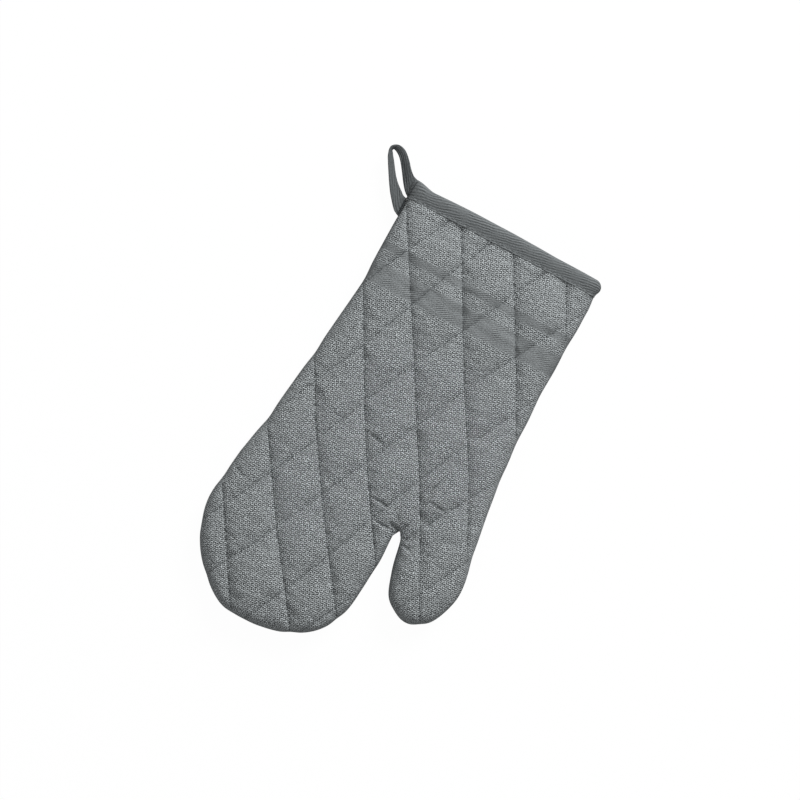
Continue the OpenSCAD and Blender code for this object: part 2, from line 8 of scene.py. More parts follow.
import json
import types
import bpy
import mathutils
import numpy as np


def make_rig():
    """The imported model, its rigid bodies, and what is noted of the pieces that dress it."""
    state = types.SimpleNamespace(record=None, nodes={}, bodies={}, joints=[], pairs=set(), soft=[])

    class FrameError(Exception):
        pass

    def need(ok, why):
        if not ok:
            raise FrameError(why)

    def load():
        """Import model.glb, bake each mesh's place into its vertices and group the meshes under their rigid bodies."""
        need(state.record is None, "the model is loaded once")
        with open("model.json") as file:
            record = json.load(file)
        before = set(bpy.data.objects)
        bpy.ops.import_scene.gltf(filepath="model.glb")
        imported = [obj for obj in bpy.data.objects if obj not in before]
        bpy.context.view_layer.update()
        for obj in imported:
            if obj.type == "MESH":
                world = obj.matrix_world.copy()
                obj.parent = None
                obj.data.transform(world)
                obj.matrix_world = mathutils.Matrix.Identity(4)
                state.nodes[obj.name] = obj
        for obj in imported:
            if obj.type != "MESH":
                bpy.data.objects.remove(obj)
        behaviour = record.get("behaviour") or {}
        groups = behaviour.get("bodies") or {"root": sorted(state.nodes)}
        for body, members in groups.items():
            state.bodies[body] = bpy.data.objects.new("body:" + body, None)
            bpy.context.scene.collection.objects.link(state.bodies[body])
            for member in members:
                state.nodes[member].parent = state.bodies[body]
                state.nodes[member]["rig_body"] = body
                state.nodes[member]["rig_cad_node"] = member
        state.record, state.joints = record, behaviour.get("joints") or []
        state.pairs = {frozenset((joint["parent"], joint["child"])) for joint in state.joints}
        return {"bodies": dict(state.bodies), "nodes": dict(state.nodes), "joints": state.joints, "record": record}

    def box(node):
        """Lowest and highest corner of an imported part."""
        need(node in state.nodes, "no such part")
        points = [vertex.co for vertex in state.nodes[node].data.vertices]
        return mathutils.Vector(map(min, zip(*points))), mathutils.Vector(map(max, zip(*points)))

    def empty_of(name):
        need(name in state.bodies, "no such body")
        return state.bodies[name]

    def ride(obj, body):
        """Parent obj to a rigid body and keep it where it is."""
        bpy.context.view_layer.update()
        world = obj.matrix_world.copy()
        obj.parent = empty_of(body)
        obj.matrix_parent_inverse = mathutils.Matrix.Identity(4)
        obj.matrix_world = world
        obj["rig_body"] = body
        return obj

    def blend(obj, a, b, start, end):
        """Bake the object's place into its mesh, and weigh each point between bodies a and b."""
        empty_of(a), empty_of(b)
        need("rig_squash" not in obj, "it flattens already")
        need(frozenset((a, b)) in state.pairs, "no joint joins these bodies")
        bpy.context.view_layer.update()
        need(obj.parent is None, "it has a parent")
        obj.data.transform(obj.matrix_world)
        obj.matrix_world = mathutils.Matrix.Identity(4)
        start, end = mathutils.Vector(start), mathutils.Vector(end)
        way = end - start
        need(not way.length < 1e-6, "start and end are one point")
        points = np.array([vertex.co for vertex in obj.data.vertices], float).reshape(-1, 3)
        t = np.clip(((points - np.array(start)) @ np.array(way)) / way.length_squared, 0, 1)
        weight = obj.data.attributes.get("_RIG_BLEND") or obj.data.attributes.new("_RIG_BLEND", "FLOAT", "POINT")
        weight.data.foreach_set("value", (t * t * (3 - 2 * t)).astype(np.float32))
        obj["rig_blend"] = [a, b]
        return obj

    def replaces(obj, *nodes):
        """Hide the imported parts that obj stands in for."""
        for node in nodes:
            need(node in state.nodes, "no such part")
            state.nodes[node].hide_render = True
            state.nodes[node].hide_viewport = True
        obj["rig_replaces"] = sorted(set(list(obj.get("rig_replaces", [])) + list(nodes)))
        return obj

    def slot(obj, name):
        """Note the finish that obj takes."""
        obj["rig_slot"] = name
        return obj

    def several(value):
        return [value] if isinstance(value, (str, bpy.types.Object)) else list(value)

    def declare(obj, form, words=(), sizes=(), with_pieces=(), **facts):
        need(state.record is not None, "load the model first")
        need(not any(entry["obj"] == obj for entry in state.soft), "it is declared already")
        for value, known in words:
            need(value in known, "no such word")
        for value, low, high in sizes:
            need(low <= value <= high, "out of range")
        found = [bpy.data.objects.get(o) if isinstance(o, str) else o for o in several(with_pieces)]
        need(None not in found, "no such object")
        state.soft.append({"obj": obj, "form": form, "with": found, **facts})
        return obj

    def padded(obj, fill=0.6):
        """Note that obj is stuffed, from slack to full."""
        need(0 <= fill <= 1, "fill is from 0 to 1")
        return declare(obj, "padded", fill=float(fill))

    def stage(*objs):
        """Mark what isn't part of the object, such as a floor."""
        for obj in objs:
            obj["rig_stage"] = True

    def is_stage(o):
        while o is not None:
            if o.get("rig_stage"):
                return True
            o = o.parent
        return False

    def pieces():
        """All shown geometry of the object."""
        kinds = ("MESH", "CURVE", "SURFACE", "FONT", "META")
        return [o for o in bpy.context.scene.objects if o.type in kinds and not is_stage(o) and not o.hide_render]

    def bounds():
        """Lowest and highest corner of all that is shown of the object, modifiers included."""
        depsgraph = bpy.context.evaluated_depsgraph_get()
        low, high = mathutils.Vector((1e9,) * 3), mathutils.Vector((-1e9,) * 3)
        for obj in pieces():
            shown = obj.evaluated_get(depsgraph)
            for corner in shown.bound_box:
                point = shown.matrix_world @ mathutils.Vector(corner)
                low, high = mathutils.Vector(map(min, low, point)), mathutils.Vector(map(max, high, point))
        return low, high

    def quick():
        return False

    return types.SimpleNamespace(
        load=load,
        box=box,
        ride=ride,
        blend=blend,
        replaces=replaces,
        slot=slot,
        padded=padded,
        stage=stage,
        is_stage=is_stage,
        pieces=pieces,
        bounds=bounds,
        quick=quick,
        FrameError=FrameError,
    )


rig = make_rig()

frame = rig.load()
cad_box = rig.bounds()

import json
import math

import bpy
import numpy as np
from mathutils import Vector, bvhtree, geometry, kdtree, noise

MM = 0.001

# ---- sizes of the mitt, in mm, as the CAD has them ----
CUFF_W = 146.0
PALM_LEN = 221.0
PALM_SWELL = 20.0
THUMB_SWELL = 12.5
WAIST_IN = 1.5
FINGER_LEN = 101.5
FINGER_W = 125.0
FINGER_SIDE = 1.5
THUMB_LEN = 50.0
THUMB_W = 52.0
THUMB_BULGE = 5.0
CROTCH_X = 29.5
THUMB_FOLD = math.radians(19)
BINDING_W = 12.0
BIND_Y = PALM_LEN - BINDING_W  # the binding's lower edge
WALL_T = 5.5
CUFF_WALL_T = 3.1
CUFF_RUN = 22.0
POCKET_H = 14.0
POCKET_BELOW = 0.25  # the share of the pocket's height that lies below the seam
SWELL_RUN = 40.0

CUFF_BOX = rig.box("cuff_binding")
CENTRE_X = (CUFF_BOX[0].x + CUFF_BOX[1].x) / 2 / MM
CROTCH_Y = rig.box("front_outer_hand")[0].y / MM
SEAM_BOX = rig.box("seam_hand")
SEAM_Z = (SEAM_BOX[0].z + SEAM_BOX[1].z) / 2 / MM


def place(p):
    """Plan millimetres to frame metres."""
    p = np.asarray(p, float)
    return (p + np.array([CENTRE_X, CROTCH_Y, 0.0])) * MM


def ease(t):
    """A smooth step, 0 up to t = 0 and 1 from t = 1."""
    t = np.clip(t, 0.0, 1.0)
    return t * t * (3 - 2 * t)


def add_object(name, data):
    """A new object in the scene."""
    obj = bpy.data.objects.new(name, data)
    bpy.context.scene.collection.objects.link(obj)
    return obj


# ---- the outline ----
def fall(y):
    """How far below the binding y lies, as a share of the way to the crotch."""
    return np.maximum(0.0, (BIND_Y - y) / BIND_Y)


def left_x(y):
    """The seam on the side of the little finger."""
    return -CUFF_W / 2 - PALM_SWELL * fall(y) ** 2


def right_x(y):
    """The seam on the side of the thumb, with its slight waist."""
    waist = np.where(y > 0, WAIST_IN * np.sin(np.pi * np.clip(fall(y), 0, 1)), 0.0)
    return CUFF_W / 2 + THUMB_SWELL * fall(y) ** 4 - waist


def curve(points, count=24):
    """A smooth curve through the points, as a fine polyline."""
    p = [np.array(q, float) for q in points]
    n = len(p) - 1
    out = []
    for i in range(n):
        a = p[i - 1] if i else 2 * p[0] - p[1]
        d = p[i + 2] if i + 2 <= n else 2 * p[n] - p[n - 1]
        b, c = p[i], p[i + 1]
        for s in np.linspace(0, 1, count, endpoint=False):
            out.append(b + (c - a) * s / 2 + (2 * a - 5 * b + 4 * c - d) * s * s / 2
                       + (3 * b - a - 3 * c + d) * s ** 3 / 2)
    out.append(p[n])
    return np.array(out)


# Where the thumb's fold line, which rises from the crotch, meets the seam: found in rounds
thumb_y = 15.0
for _ in range(8):
    thumb_y = math.tan(THUMB_FOLD) * (float(right_x(thumb_y)) - CROTCH_X)
THUMB_END = np.array([float(right_x(thumb_y)), thumb_y])
CROTCH = np.array([CROTCH_X, 0.0])
FOLD_OUT = np.array([math.sin(THUMB_FOLD), -math.cos(THUMB_FOLD)])


def finger_pt(across, down):
    """A point of the finger pocket's outline, as shares of its width and length."""
    return (CROTCH_X - FINGER_SIDE - FINGER_W * (1 - across), -FINGER_LEN * down)


def thumb_pt(across, down):
    """A point of the thumb's outline, as shares of its width and length."""
    return (THUMB_END[0] + THUMB_BULGE - THUMB_W * (1 - across), -THUMB_LEN * down)


finger_curve = curve([
    (float(left_x(0.0)), 0), finger_pt(0, 0.4), finger_pt(0.09, 0.71), finger_pt(0.29, 0.95),
    finger_pt(0.48, 1), finger_pt(0.78, 0.915), finger_pt(0.95, 0.68), finger_pt(1, 0.27),
    CROTCH])
thumb_curve = curve([
    CROTCH, thumb_pt(0.08, 0.5), thumb_pt(0.23, 0.84), thumb_pt(0.5, 1), thumb_pt(0.8, 0.88),
    thumb_pt(0.97, 0.52), thumb_pt(1, 0.15), THUMB_END])


def gone_along(line):
    """The distance gone along the polyline at each of its points."""
    return np.r_[0, np.cumsum(np.linalg.norm(np.diff(line, axis=0), axis=1))]


def resample(line, step):
    """The polyline with even points about step apart, its two ends kept."""
    line = np.asarray(line, float)
    gone = gone_along(line)
    n = max(2, int(round(gone[-1] / step)) + 1)
    at = np.linspace(0, gone[-1], n)
    return np.stack([np.interp(at, gone, line[:, k]) for k in range(line.shape[1])], 1)


def side(seam_x, y0, y1):
    """One side's seam from y0 to y1."""
    y = np.linspace(y0, y1, 120)
    return np.stack([seam_x(y), y], 1)


def seg_dist(q, line, chunk=4000):
    """Distance of each point from the polyline."""
    a, b = line[:-1], line[1:]
    ab = b - a
    length2 = (ab ** 2).sum(1)
    out = np.empty(len(q))
    for k in range(0, len(q), chunk):
        part = q[k:k + chunk, None, :]
        t = np.clip(((part - a) * ab).sum(2) / length2, 0, 1)
        out[k:k + chunk] = np.sqrt((((a + ab * t[..., None]) - part) ** 2).sum(2).min(1))
    return out


def inside(q, ring):
    """Which points lie inside the closed ring."""
    x, y = q[:, 0][:, None], q[:, 1][:, None]
    a, b = ring, np.roll(ring, -1, axis=0)
    cross = (a[:, 1] > y) != (b[:, 1] > y)
    with np.errstate(divide="ignore", invalid="ignore"):
        at = (b[:, 0] - a[:, 0]) * (y - a[:, 1]) / (b[:, 1] - a[:, 1]) + a[:, 0]
    return (cross & (x < at)).sum(1) % 2 == 1


# ---- the quilting lines ----
QUILT_TOP = 146.3  # the height that both families are laid out from
# Two families, each as (at, step, lean, fan): at u mm below QUILT_TOP, line number n crosses at
# x = at + n * (step - fan * u) + lean * u
FAMILY = {"a": (3.5, 39.8, 0.544, 0.0150), "b": (3.8, 39.5, -0.486, 0.0110)}
LINES = range(-6, 7)
# How far each line strays from straight, as the cloth was fed by hand: pairs of y and mm,
# measured square to the line and positive towards +x
STRAY = {
    "a": {-5: [(-68, -3)],
          -4: [(-84, 6), (-36, 1), (20, -1.5)],
          -3: [(-84, 9), (-52, 6), (-4, 1), (44, -1), (76, 0)],
          -2: [(-24, 4), (4, 2), (36, 0), (76, 0), (132, 1.5)],
          -1: [(-40, 1), (16, 3), (36, 3), (92, 1.5), (196, -2)],
          0: [(16, 2), (58, 3.5), (108, 1), (132, 0.5), (196, 0)],
          1: [(132, 2), (196, 0)],
          2: [(188, 0.5)]},
    "b": {-2: [(164, 4), (196, 5.5)],
          -1: [(60, 3), (108, 3), (172, -1)],
          0: [(-44, 0), (20, 1.5), (60, 0), (100, -1), (164, 1)],
          1: [(-68, -1.5), (-52, 0), (84, -0.5), (116, -1), (184, 3)],
          2: [(-84, 5.5), (-44, 4), (20, -2), (64, -4), (108, -3)],
          3: [(-40, 2.5), (0, -8.5), (30, -8.5), (64, -6)],
          4: [(-16, -6)]}}


def stray(name, n, y):
    """The shift along x at height y of line n, which may also lie between two lines."""
    numbers = sorted(STRAY[name])
    shifts = np.array([np.interp(y, *zip(*STRAY[name][k])) for k in numbers])
    rank = np.clip(n, numbers[0], numbers[-1]) - numbers[0]
    under = np.minimum(rank.astype(int), len(numbers) - 2)
    share = rank - under
    each = np.arange(len(under))
    shift = shifts[under, each] * (1 - share) + shifts[under + 1, each] * share
    return shift * math.sqrt(1 + FAMILY[name][2] ** 2)


def line_x(name, n, y):
    """Where line n crosses height y."""
    at, step, lean, fan = FAMILY[name]
    u = QUILT_TOP - y
    return at + n * (step - fan * u) + lean * u + stray(name, n, y)


def line_gap(q, name):
    """Distance of each point from the family's nearest line."""
    at, step, lean, fan = FAMILY[name]
    x, y = q[:, 0], q[:, 1]
    u = QUILT_TOP - y
    n = (x - at - lean * u) / (step - fan * u)
    for _ in range(4):
        n = (x - at - lean * u - stray(name, n, y)) / (step - fan * u)
    n = np.round(n)
    slope = lean - fan * n
    return np.abs(x - line_x(name, n, y)) / np.sqrt(1 + slope ** 2)


def quilt_line(name, number, y):
    """One line as plan points at the given heights."""
    return np.stack([line_x(name, np.full(len(y), float(number)), y), y], 1)


# ---- creases in the cloth: two ends, depth and half width, in mm ----
CREASES = [
    ((3.8, 15.7), (16.5, 14.1), 1.4, 1.3),
    ((9.6, 2.1), (25.4, 1.4), 1.8, 1.2),
    ((19.0, 16.0), (28.6, 8.2), 0.8, 1.3),
    ((21.5, 5.6), (29.3, 2.9), 1.9, 1.2),
    ((32.8, 10.6), (31.0, 4.6), 1.3, 1.3),
    ((36.0, -3.3), (45.7, -6.6), 1.4, 1.2),
    ((34.5, -0.3), (39.5, 0.2), 1.1, 1.1),
    ((39.5, 31.2), (53.6, 29.6), 1.3, 1.3),
    ((53.1, 29.6), (60.3, 42.1), 1.3, 1.2),
    ((38.0, 19.5), (50.0, 17.0), 1.1, 4.2),
    ((40.2, 50.5), (35.1, 33.0), 2.6, 1.1),
    ((-91.5, -10.2), (-81.2, -14.1), 1.1, 1.4),
    ((-20.6, 54.7), (-5.9, 49.6), 0.9, 1.4),
]


def crease_depth(q):
    """How far the creases press each point in, less the ridge each throws up on one side."""
    dent, ridge = np.zeros(len(q)), np.zeros(len(q))
    for a, b, depth, half in CREASES:
        a, b = np.array(a), np.array(b)
        t = np.clip((q - a) @ (b - a) / ((b - a) @ (b - a)), 0, 1)
        off = q - (a + t[:, None] * (b - a))
        gap = np.linalg.norm(off, axis=1)
        down = np.where(off[:, 1] < 0, gap, -gap)
        strength = depth * np.sin(np.pi * (0.03 + 0.94 * t)) ** 0.8
        dent = np.maximum(dent, 1.25 * strength * np.exp(-(gap / (0.8 * half)) ** 2))
        ridge = np.maximum(ridge, 0.42 * strength * np.exp(-((down - 2.0 * half) / (1.1 * half)) ** 2))
    return dent - ridge


def drag_folds(q, gap):
    """Slight folds that the quilting draws across the cloth, strongest beside its steep lines."""
    sway = [4 * noise.noise(Vector((x * 0.03, y * 0.03, 9.0))) for x, y in q]
    fold = [noise.noise(Vector((x * 0.055, (y + s) * 0.22, 5.0))) for (x, y), s in zip(q, sway)]
    return 0.95 * np.array(fold) * (0.6 + 0.7 * np.exp(-gap["a"] / 6))


def on_thumb(q):
    """0 over the hand and fingers, rising to 1 towards the thumb's tip."""
    return ease((q[:, 0] - 28) / 6) * ease((2 - q[:, 1]) / 26)


# ---- height of the panels off the seam ----
SIDE_TOP = PALM_LEN + 40.0
seam_line = np.concatenate([
    side(left_x, SIDE_TOP, 0.0)[:-1], finger_curve[:-1], thumb_curve[:-1],
    side(right_x, THUMB_END[1], SIDE_TOP)])


def near_cuff(y):
    """0 over the hand, rising to 1 at the binding."""
    return ease((y - BIND_Y + CUFF_RUN) / CUFF_RUN)


def wall(y):
    """Thickness of one panel: cloth, wadding and lining."""
    return WALL_T + (CUFF_WALL_T - WALL_T) * near_cuff(y)


def panel_h(q, inset, face):
    """Height of a panel's outside from the seam: face is 1 for the front, -1 for the back.

    It rises in two curves: a steep one close to the seam, rim high and rim_r wide, and the long
    swell of the pocket up to its full height.
    """
    y = q[:, 1]
    cuff = near_cuff(y)
    if face > 0:
        full = POCKET_H * (1 - POCKET_BELOW) + wall(y)
        rim, rim_r = 8.0 - 3.1 * cuff, 9.0 - 3.0 * cuff
    else:
        full = SEAM_Z - 0.6 - 0.25 * cuff
        rim, rim_r = 3.4 + 1.5 * cuff, 4.0 + 0.5 * cuff
    k = 1 - np.clip(inset / SWELL_RUN, 0, 1)
    e = 1 - np.clip(inset / rim_r, 0, 1)
    return rim * np.sqrt(1 - e * e) + (full - rim) * np.sqrt(1 - k * k)


# ---- plan nets of triangles ----
SHELL_TOP = 216.0  # the cloth ends inside the binding
left_part = np.concatenate([side(left_x, SHELL_TOP, 0.0)[:-1], finger_curve])
right_part = side(right_x, THUMB_END[1], SHELL_TOP)


def nearest(points, others):
    """The nearest of the others to each point: their numbers and distances."""
    tree = kdtree.KDTree(len(others))
    for i, p in enumerate(others):
        tree.insert((p[0], p[1], 0), i)
    tree.balance()
    found = [tree.find((p[0], p[1], 0)) for p in points]
    return np.array([f[1] for f in found], int), np.array([f[2] for f in found])


def thin(points, fixed, gap):
    """Those points that lie at least gap from all fixed ones."""
    return points[nearest(points, fixed)[1] >= gap]


def inward_of(line):
    """The way into the mitt, square to the line, at each of its points."""
    tangent = np.gradient(line, axis=0)
    tangent /= np.linalg.norm(tangent, axis=1)[:, None]
    return np.stack([-tangent[:, 1], tangent[:, 0]], 1)


def past_fold(q):
    """Which plan points lie on the thumb's side of its fold line."""
    return ((q - CROTCH) @ FOLD_OUT > 1e-6) & (q[..., 0] > CROTCH_X)


UV_RUN = 16.0  # how far in from the seam the flat cloth is let out
# Finer points in the shell: beside each quilting line, as shift in x and least gap, and across
# each crease, in half widths
BESIDE_LINE = ((0.5, 0.42), (-0.5, 0.42), (1.4, 0.75), (-1.4, 0.75))
ACROSS_CREASE = (0, 0.55, -0.55, 1.2, -1.2)


class Net:
    """A plan net: the outline's points first, then the thumb's fold line, the quilting and the fill."""

    def __init__(self, spacing, rings, creased):
        """Points about spacing apart, with rings of them at the given depths in from the seam."""
        sections = [resample(part, spacing) for part in (left_part, thumb_curve, right_part)]
        outline = np.concatenate([s[:-1] for s in sections] + [sections[-1][-1:]])
        top = resample([outline[-1], outline[0]], spacing)[1:-1]
        ring = np.concatenate([outline, top])
        fold = resample([CROTCH, THUMB_END], spacing)[1:-1]
        groups = [ring, fold]

        def add(points, gap, margin):
            """Adds those points that lie inside, off the seam, and gap from the ones before."""
            points = points[inside(points, ring)]
            points = points[seg_dist(points, seam_line) > margin]
            groups.append(thin(points, np.concatenate(groups), gap))

        y = np.arange(-FINGER_LEN, SHELL_TOP, spacing * 0.86)
        for name in "ab":
            for number in LINES:
                add(quilt_line(name, number, y), 0.62 * spacing, 0.6)
        sewn_end = sum(len(g) for g in groups)
        if creased:
            for name in "ab":
                for number in LINES:
                    for shift, gap in BESIDE_LINE:
                        add(quilt_line(name, number, y) + np.array([shift, 0]), gap, 1.2)
            for a, b, _, half in CREASES:
                middle = resample([a, b], 0.7 * spacing)
                across = np.array([a[1] - b[1], b[0] - a[0]]) / math.dist(a, b)
                for shift in ACROSS_CREASE:
                    add(middle + across * half * shift, 0.3 * spacing, 0.8)
        for depth in rings:
            gap = min(0.5 * spacing, 0.45 + 0.4 * depth)
            add(outline + inward_of(outline) * depth, gap, depth * 0.85)
        rows = spacing * math.sqrt(3) / 2
        low, high = ring.min(0), ring.max(0)
        fill = []
        for k, row_y in enumerate(np.arange(low[1], high[1], rows)):
            xs = np.arange(low[0] + (k % 2) * spacing / 2, high[0], spacing)
            fill.append(np.stack([xs, np.full(len(xs), row_y)], 1))
        add(np.concatenate(fill), 0.66 * spacing, max(rings[0], 2.6))
        points = np.concatenate(groups)
        n = len(ring)
        edges = [(i, (i + 1) % n) for i in range(n)]
        ends = [int(np.argmin(((points - p) ** 2).sum(1))) for p in (CROTCH, THUMB_END)]
        chain = [ends[0]] + list(range(n, n + len(fold))) + [ends[1]]
        edges += list(zip(chain[:-1], chain[1:]))
        verts, _, faces, origin, _, _ = geometry.delaunay_2d_cdt(
            [Vector(p) for p in points], edges, [], 0, 1e-4)
        self.points = np.array([tuple(v) for v in verts])
        faces = np.array([f for f in faces if len(f) == 3])
        self.tris = faces[inside(self.points[faces].mean(1), ring)]
        source = np.array([min(o) if o else len(points) for o in origin])
        self.outline = outline
        self.on_outline = source < len(outline)
        self.on_line = source < sewn_end
        self.inset = seg_dist(self.points, seam_line)
        self.gap = {name: line_gap(self.points, name) for name in "ab"}
        self.in_thumb = past_fold(self.points[self.tris].mean(1))

    def drawn_in(self):
        """The points as the seam draws them in: scalloped where quilting runs out, and at the crotch."""
        line = self.outline
        pull = 0.75 * np.exp(-(line_gap(line, "a") / 5.0) ** 2)
        pull += 0.45 * np.exp(-(line_gap(line, "b") / 5.0) ** 2)
        away = np.linalg.norm(line - CROTCH, axis=1)
        pull = (pull - 0.25) * ease((away - 20) / 28)
        pull *= ease((SHELL_TOP - 10 - line[:, 1]) / 20)
        # the crotch is sewn a little wider and higher than a plain corner
        apex = np.argmin(away)
        pull += np.where(np.arange(len(line)) < apex, 1.8, 3.4) * np.exp(-(away / 18.0) ** 2)
        # the thumb side is cut a little full, and the finger side a little spare
        low = ease((SHELL_TOP - 4 - line[:, 1]) / 14)
        full = 1.2 - 0.6 * np.exp(-((line[:, 1] - 134) / 22) ** 2)
        pull -= full * low * ease((line[:, 0] - 56) / 12)
        pull += 0.9 * np.exp(-((line[:, 1] - 135) / 34) ** 2) * ease((-60 - line[:, 0]) / 8)
        self.moves = inward_of(line) * pull[:, None]
        self.moves[apex] = (1.0, 3.5)
        out = np.empty_like(self.points)
        for k in range(0, len(out), 2000):
            q = self.points[k:k + 2000]
            near = 1 / (((q[:, None] - line) ** 2).sum(2) + 0.02) ** 2
            out[k:k + 2000] = near @ self.moves / near.sum(1)[:, None]
        fade = (1 - np.clip(self.inset / 9, 0, 1)) ** 2
        return self.points + out * fade[:, None]

    def edge_way(self):
        """The way in from the nearest piece of seam, for each point."""
        return inward_of(self.outline)[nearest(self.points, self.outline)[0]]

    def cloth_uv(self, face):
        """Where each point lies in the flat cloth: the plan, let out where the panel turns down."""
        depth = np.linspace(0, UV_RUN, 160)
        h = panel_h(np.c_[depth, np.zeros(len(depth))], depth, face)
        run = np.r_[0, np.cumsum(np.hypot(np.diff(depth), np.diff(h)))]
        extra = (run[-1] - run) - (UV_RUN - depth)
        return self.points - self.edge_way() * np.interp(self.inset, depth, extra)[:, None]


shell = Net(1.75, (0.55, 1.2, 2.1, 3.3), True)
print("shell net", len(shell.points), "points", len(shell.tris), "triangles")
shell_plan = shell.drawn_in()

# ---- the panels: sewn channels first, then the pillows blown up by cloth simulation ----
CHANNEL = {"a": (2.6, 2.9), "b": (1.95, 3.0)}  # depth and run
SIM_SCALE = 10.0  # the cloth is simulated at ten times its size
SIM_FRAMES = 18
MOST_SWELL = 5.0  # the furthest that a point may move


def channelled(net, face):
    """The panel's height with its sewn channels pressed in, before the pillows swell."""
    h = panel_h(net.points, net.inset, face)
    keep = 1.0
    depth = 0.0
    for name in "ab":
        deep, run = CHANNEL[name]
        dip = np.exp(-net.gap[name] / run)
        depth = depth + deep * dip * keep
        keep = 1 - dip
    depth *= 0.3 + 0.7 * ease(net.inset / 11)
    depth *= ease((BIND_Y + 4 - net.points[:, 1]) / 12) * (1 - 0.6 * on_thumb(net.points))
    return h - np.minimum(depth, 0.55 * h)


def swell(net, xy, height, face, held, pressure, slack):
    """The panel blown up by cloth simulation between the held points. Returns its points."""
    start = np.c_[xy, SEAM_Z + face * height]
    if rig.quick():
        return start
    mesh = bpy.data.meshes.new("swelling")
    faces = net.tris if face > 0 else net.tris[:, ::-1]
    mesh.from_pydata((start * MM * SIM_SCALE).tolist(), [], faces.tolist())
    obj = add_object("swelling", mesh)
    pin = obj.vertex_groups.new(name="pin")
    pin.add([int(i) for i in np.flatnonzero(held)], 1.0, "REPLACE")
    cloth = obj.modifiers.new("cloth", "CLOTH")
    s = cloth.settings
    s.quality = 5
    s.mass = 0.3
    s.tension_stiffness = s.compression_stiffness = 15
    s.shear_stiffness = 5
    s.bending_stiffness = 0.5
    s.vertex_group_mass = "pin"
    s.use_pressure = True
    s.uniform_pressure_force = pressure
    s.shrink_min = s.shrink_max = -slack
    s.effector_weights.gravity = 0
    cloth.collision_settings.use_collision = False
    cloth.point_cache.frame_start = 1
    cloth.point_cache.frame_end = SIM_FRAMES
    for frame_number in range(1, SIM_FRAMES + 1):
        bpy.context.scene.frame_set(frame_number)
    shown = obj.evaluated_get(bpy.context.evaluated_depsgraph_get())
    co = np.empty(len(start) * 3, np.float32)
    shown.data.vertices.foreach_get("co", co)
    bpy.data.objects.remove(obj)
    bpy.context.scene.frame_set(1)
    moved = co.reshape(-1, 3) / MM / SIM_SCALE - start
    far = np.linalg.norm(moved, axis=1)
    moved *= np.minimum(1, MOST_SWELL / np.maximum(far, 1e-9))[:, None]
    return start + moved


held = shell.on_line | (shell.inset < 2.2) | (shell.points[:, 1] > BIND_Y + 1)
front = swell(shell, shell_plan, channelled(shell, 1), 1, held, pressure=8.0, slack=0.02)
back = swell(shell, shell_plan, channelled(shell, -1), -1, held, pressure=5.0, slack=0.012)
# Creases, the narrow groove that the thread lies in, and drag folds
crease = crease_depth(shell.points)
sewn = ease(shell.inset / 3) * ease((BIND_Y + 1 - shell.points[:, 1]) / 3)
groove = 0.75 * np.exp(-(shell.gap["a"] / 0.4) ** 2) + 0.75 * np.exp(-(shell.gap["b"] / 0.5) ** 2)
crease += sewn * (groove * (1 - 0.5 * on_thumb(shell.points)) - drag_folds(shell.points, shell.gap))
front[:, 2] -= crease
back[:, 2] += 0.7 * crease
# the back is pressed flat by the table
back[:, 2] = np.maximum(back[:, 2], 0.3 + 0.12 * np.minimum(back[:, 2], 0))
front[shell.on_outline, 2] = SEAM_Z
back[shell.on_outline] = front[shell.on_outline]


# ---- mesh helpers ----
def mesh_object(name, verts, faces, uv):
    """A smooth piece from plan millimetres, with its cloth coordinates: uv has a row in
    millimetres for each point or for each face corner, and is kept in metres."""
    mesh = bpy.data.meshes.new(name)
    mesh.from_pydata(place(verts).tolist(), [], [list(map(int, f)) for f in faces])
    mesh.polygons.foreach_set("use_smooth", np.ones(len(mesh.polygons), bool))
    uv = np.asarray(uv, float)
    if len(uv) == len(verts):
        loops = np.empty(len(mesh.loops), np.int32)
        mesh.loops.foreach_get("vertex_index", loops)
        uv = uv[loops]
    mesh.uv_layers.new(name="cloth").data.foreach_set("uv", (uv * MM).astype(np.float32).ravel())
    mesh.validate()
    mesh.update()
    return add_object(name, mesh)


def two_sided(upper, lower, shared, faces):
    """Two sheets of one net, joined at the shared points. Returns points and faces."""
    n = len(upper)
    number = np.arange(n) + n
    number[shared] = np.flatnonzero(shared)
    verts = np.concatenate([upper, lower])
    both = np.concatenate([faces, number[faces][:, ::-1]])
    used = np.unique(both)
    fresh = np.full(2 * n, -1)
    fresh[used] = np.arange(len(used))
    return verts[used], fresh[both]


def tube(rings, uv):
    """A skin over equally long closed rings of points, with its ends filled."""
    n, m = len(rings), len(rings[0])
    verts = np.concatenate(rings)
    faces = [(i * m + j, i * m + (j + 1) % m, (i + 1) * m + (j + 1) % m, (i + 1) * m + j)
             for i in range(n - 1) for j in range(m)]
    faces.append(tuple(range(m - 1, -1, -1)))
    faces.append(tuple((n - 1) * m + j for j in range(m)))
    return verts, faces, uv


pieces = {}
front_uv, back_uv = shell.cloth_uv(1), shell.cloth_uv(-1)
for name, mask in (("mitt_outer", ~shell.in_thumb), ("thumb_outer", shell.in_thumb)):
    verts, faces = two_sided(front, back, shell.on_outline, shell.tris[mask])
    corners = np.concatenate([front_uv[shell.tris[mask]], back_uv[shell.tris[mask]][:, ::-1]])
    pieces[name] = mesh_object(name, verts, faces, corners.reshape(-1, 2))

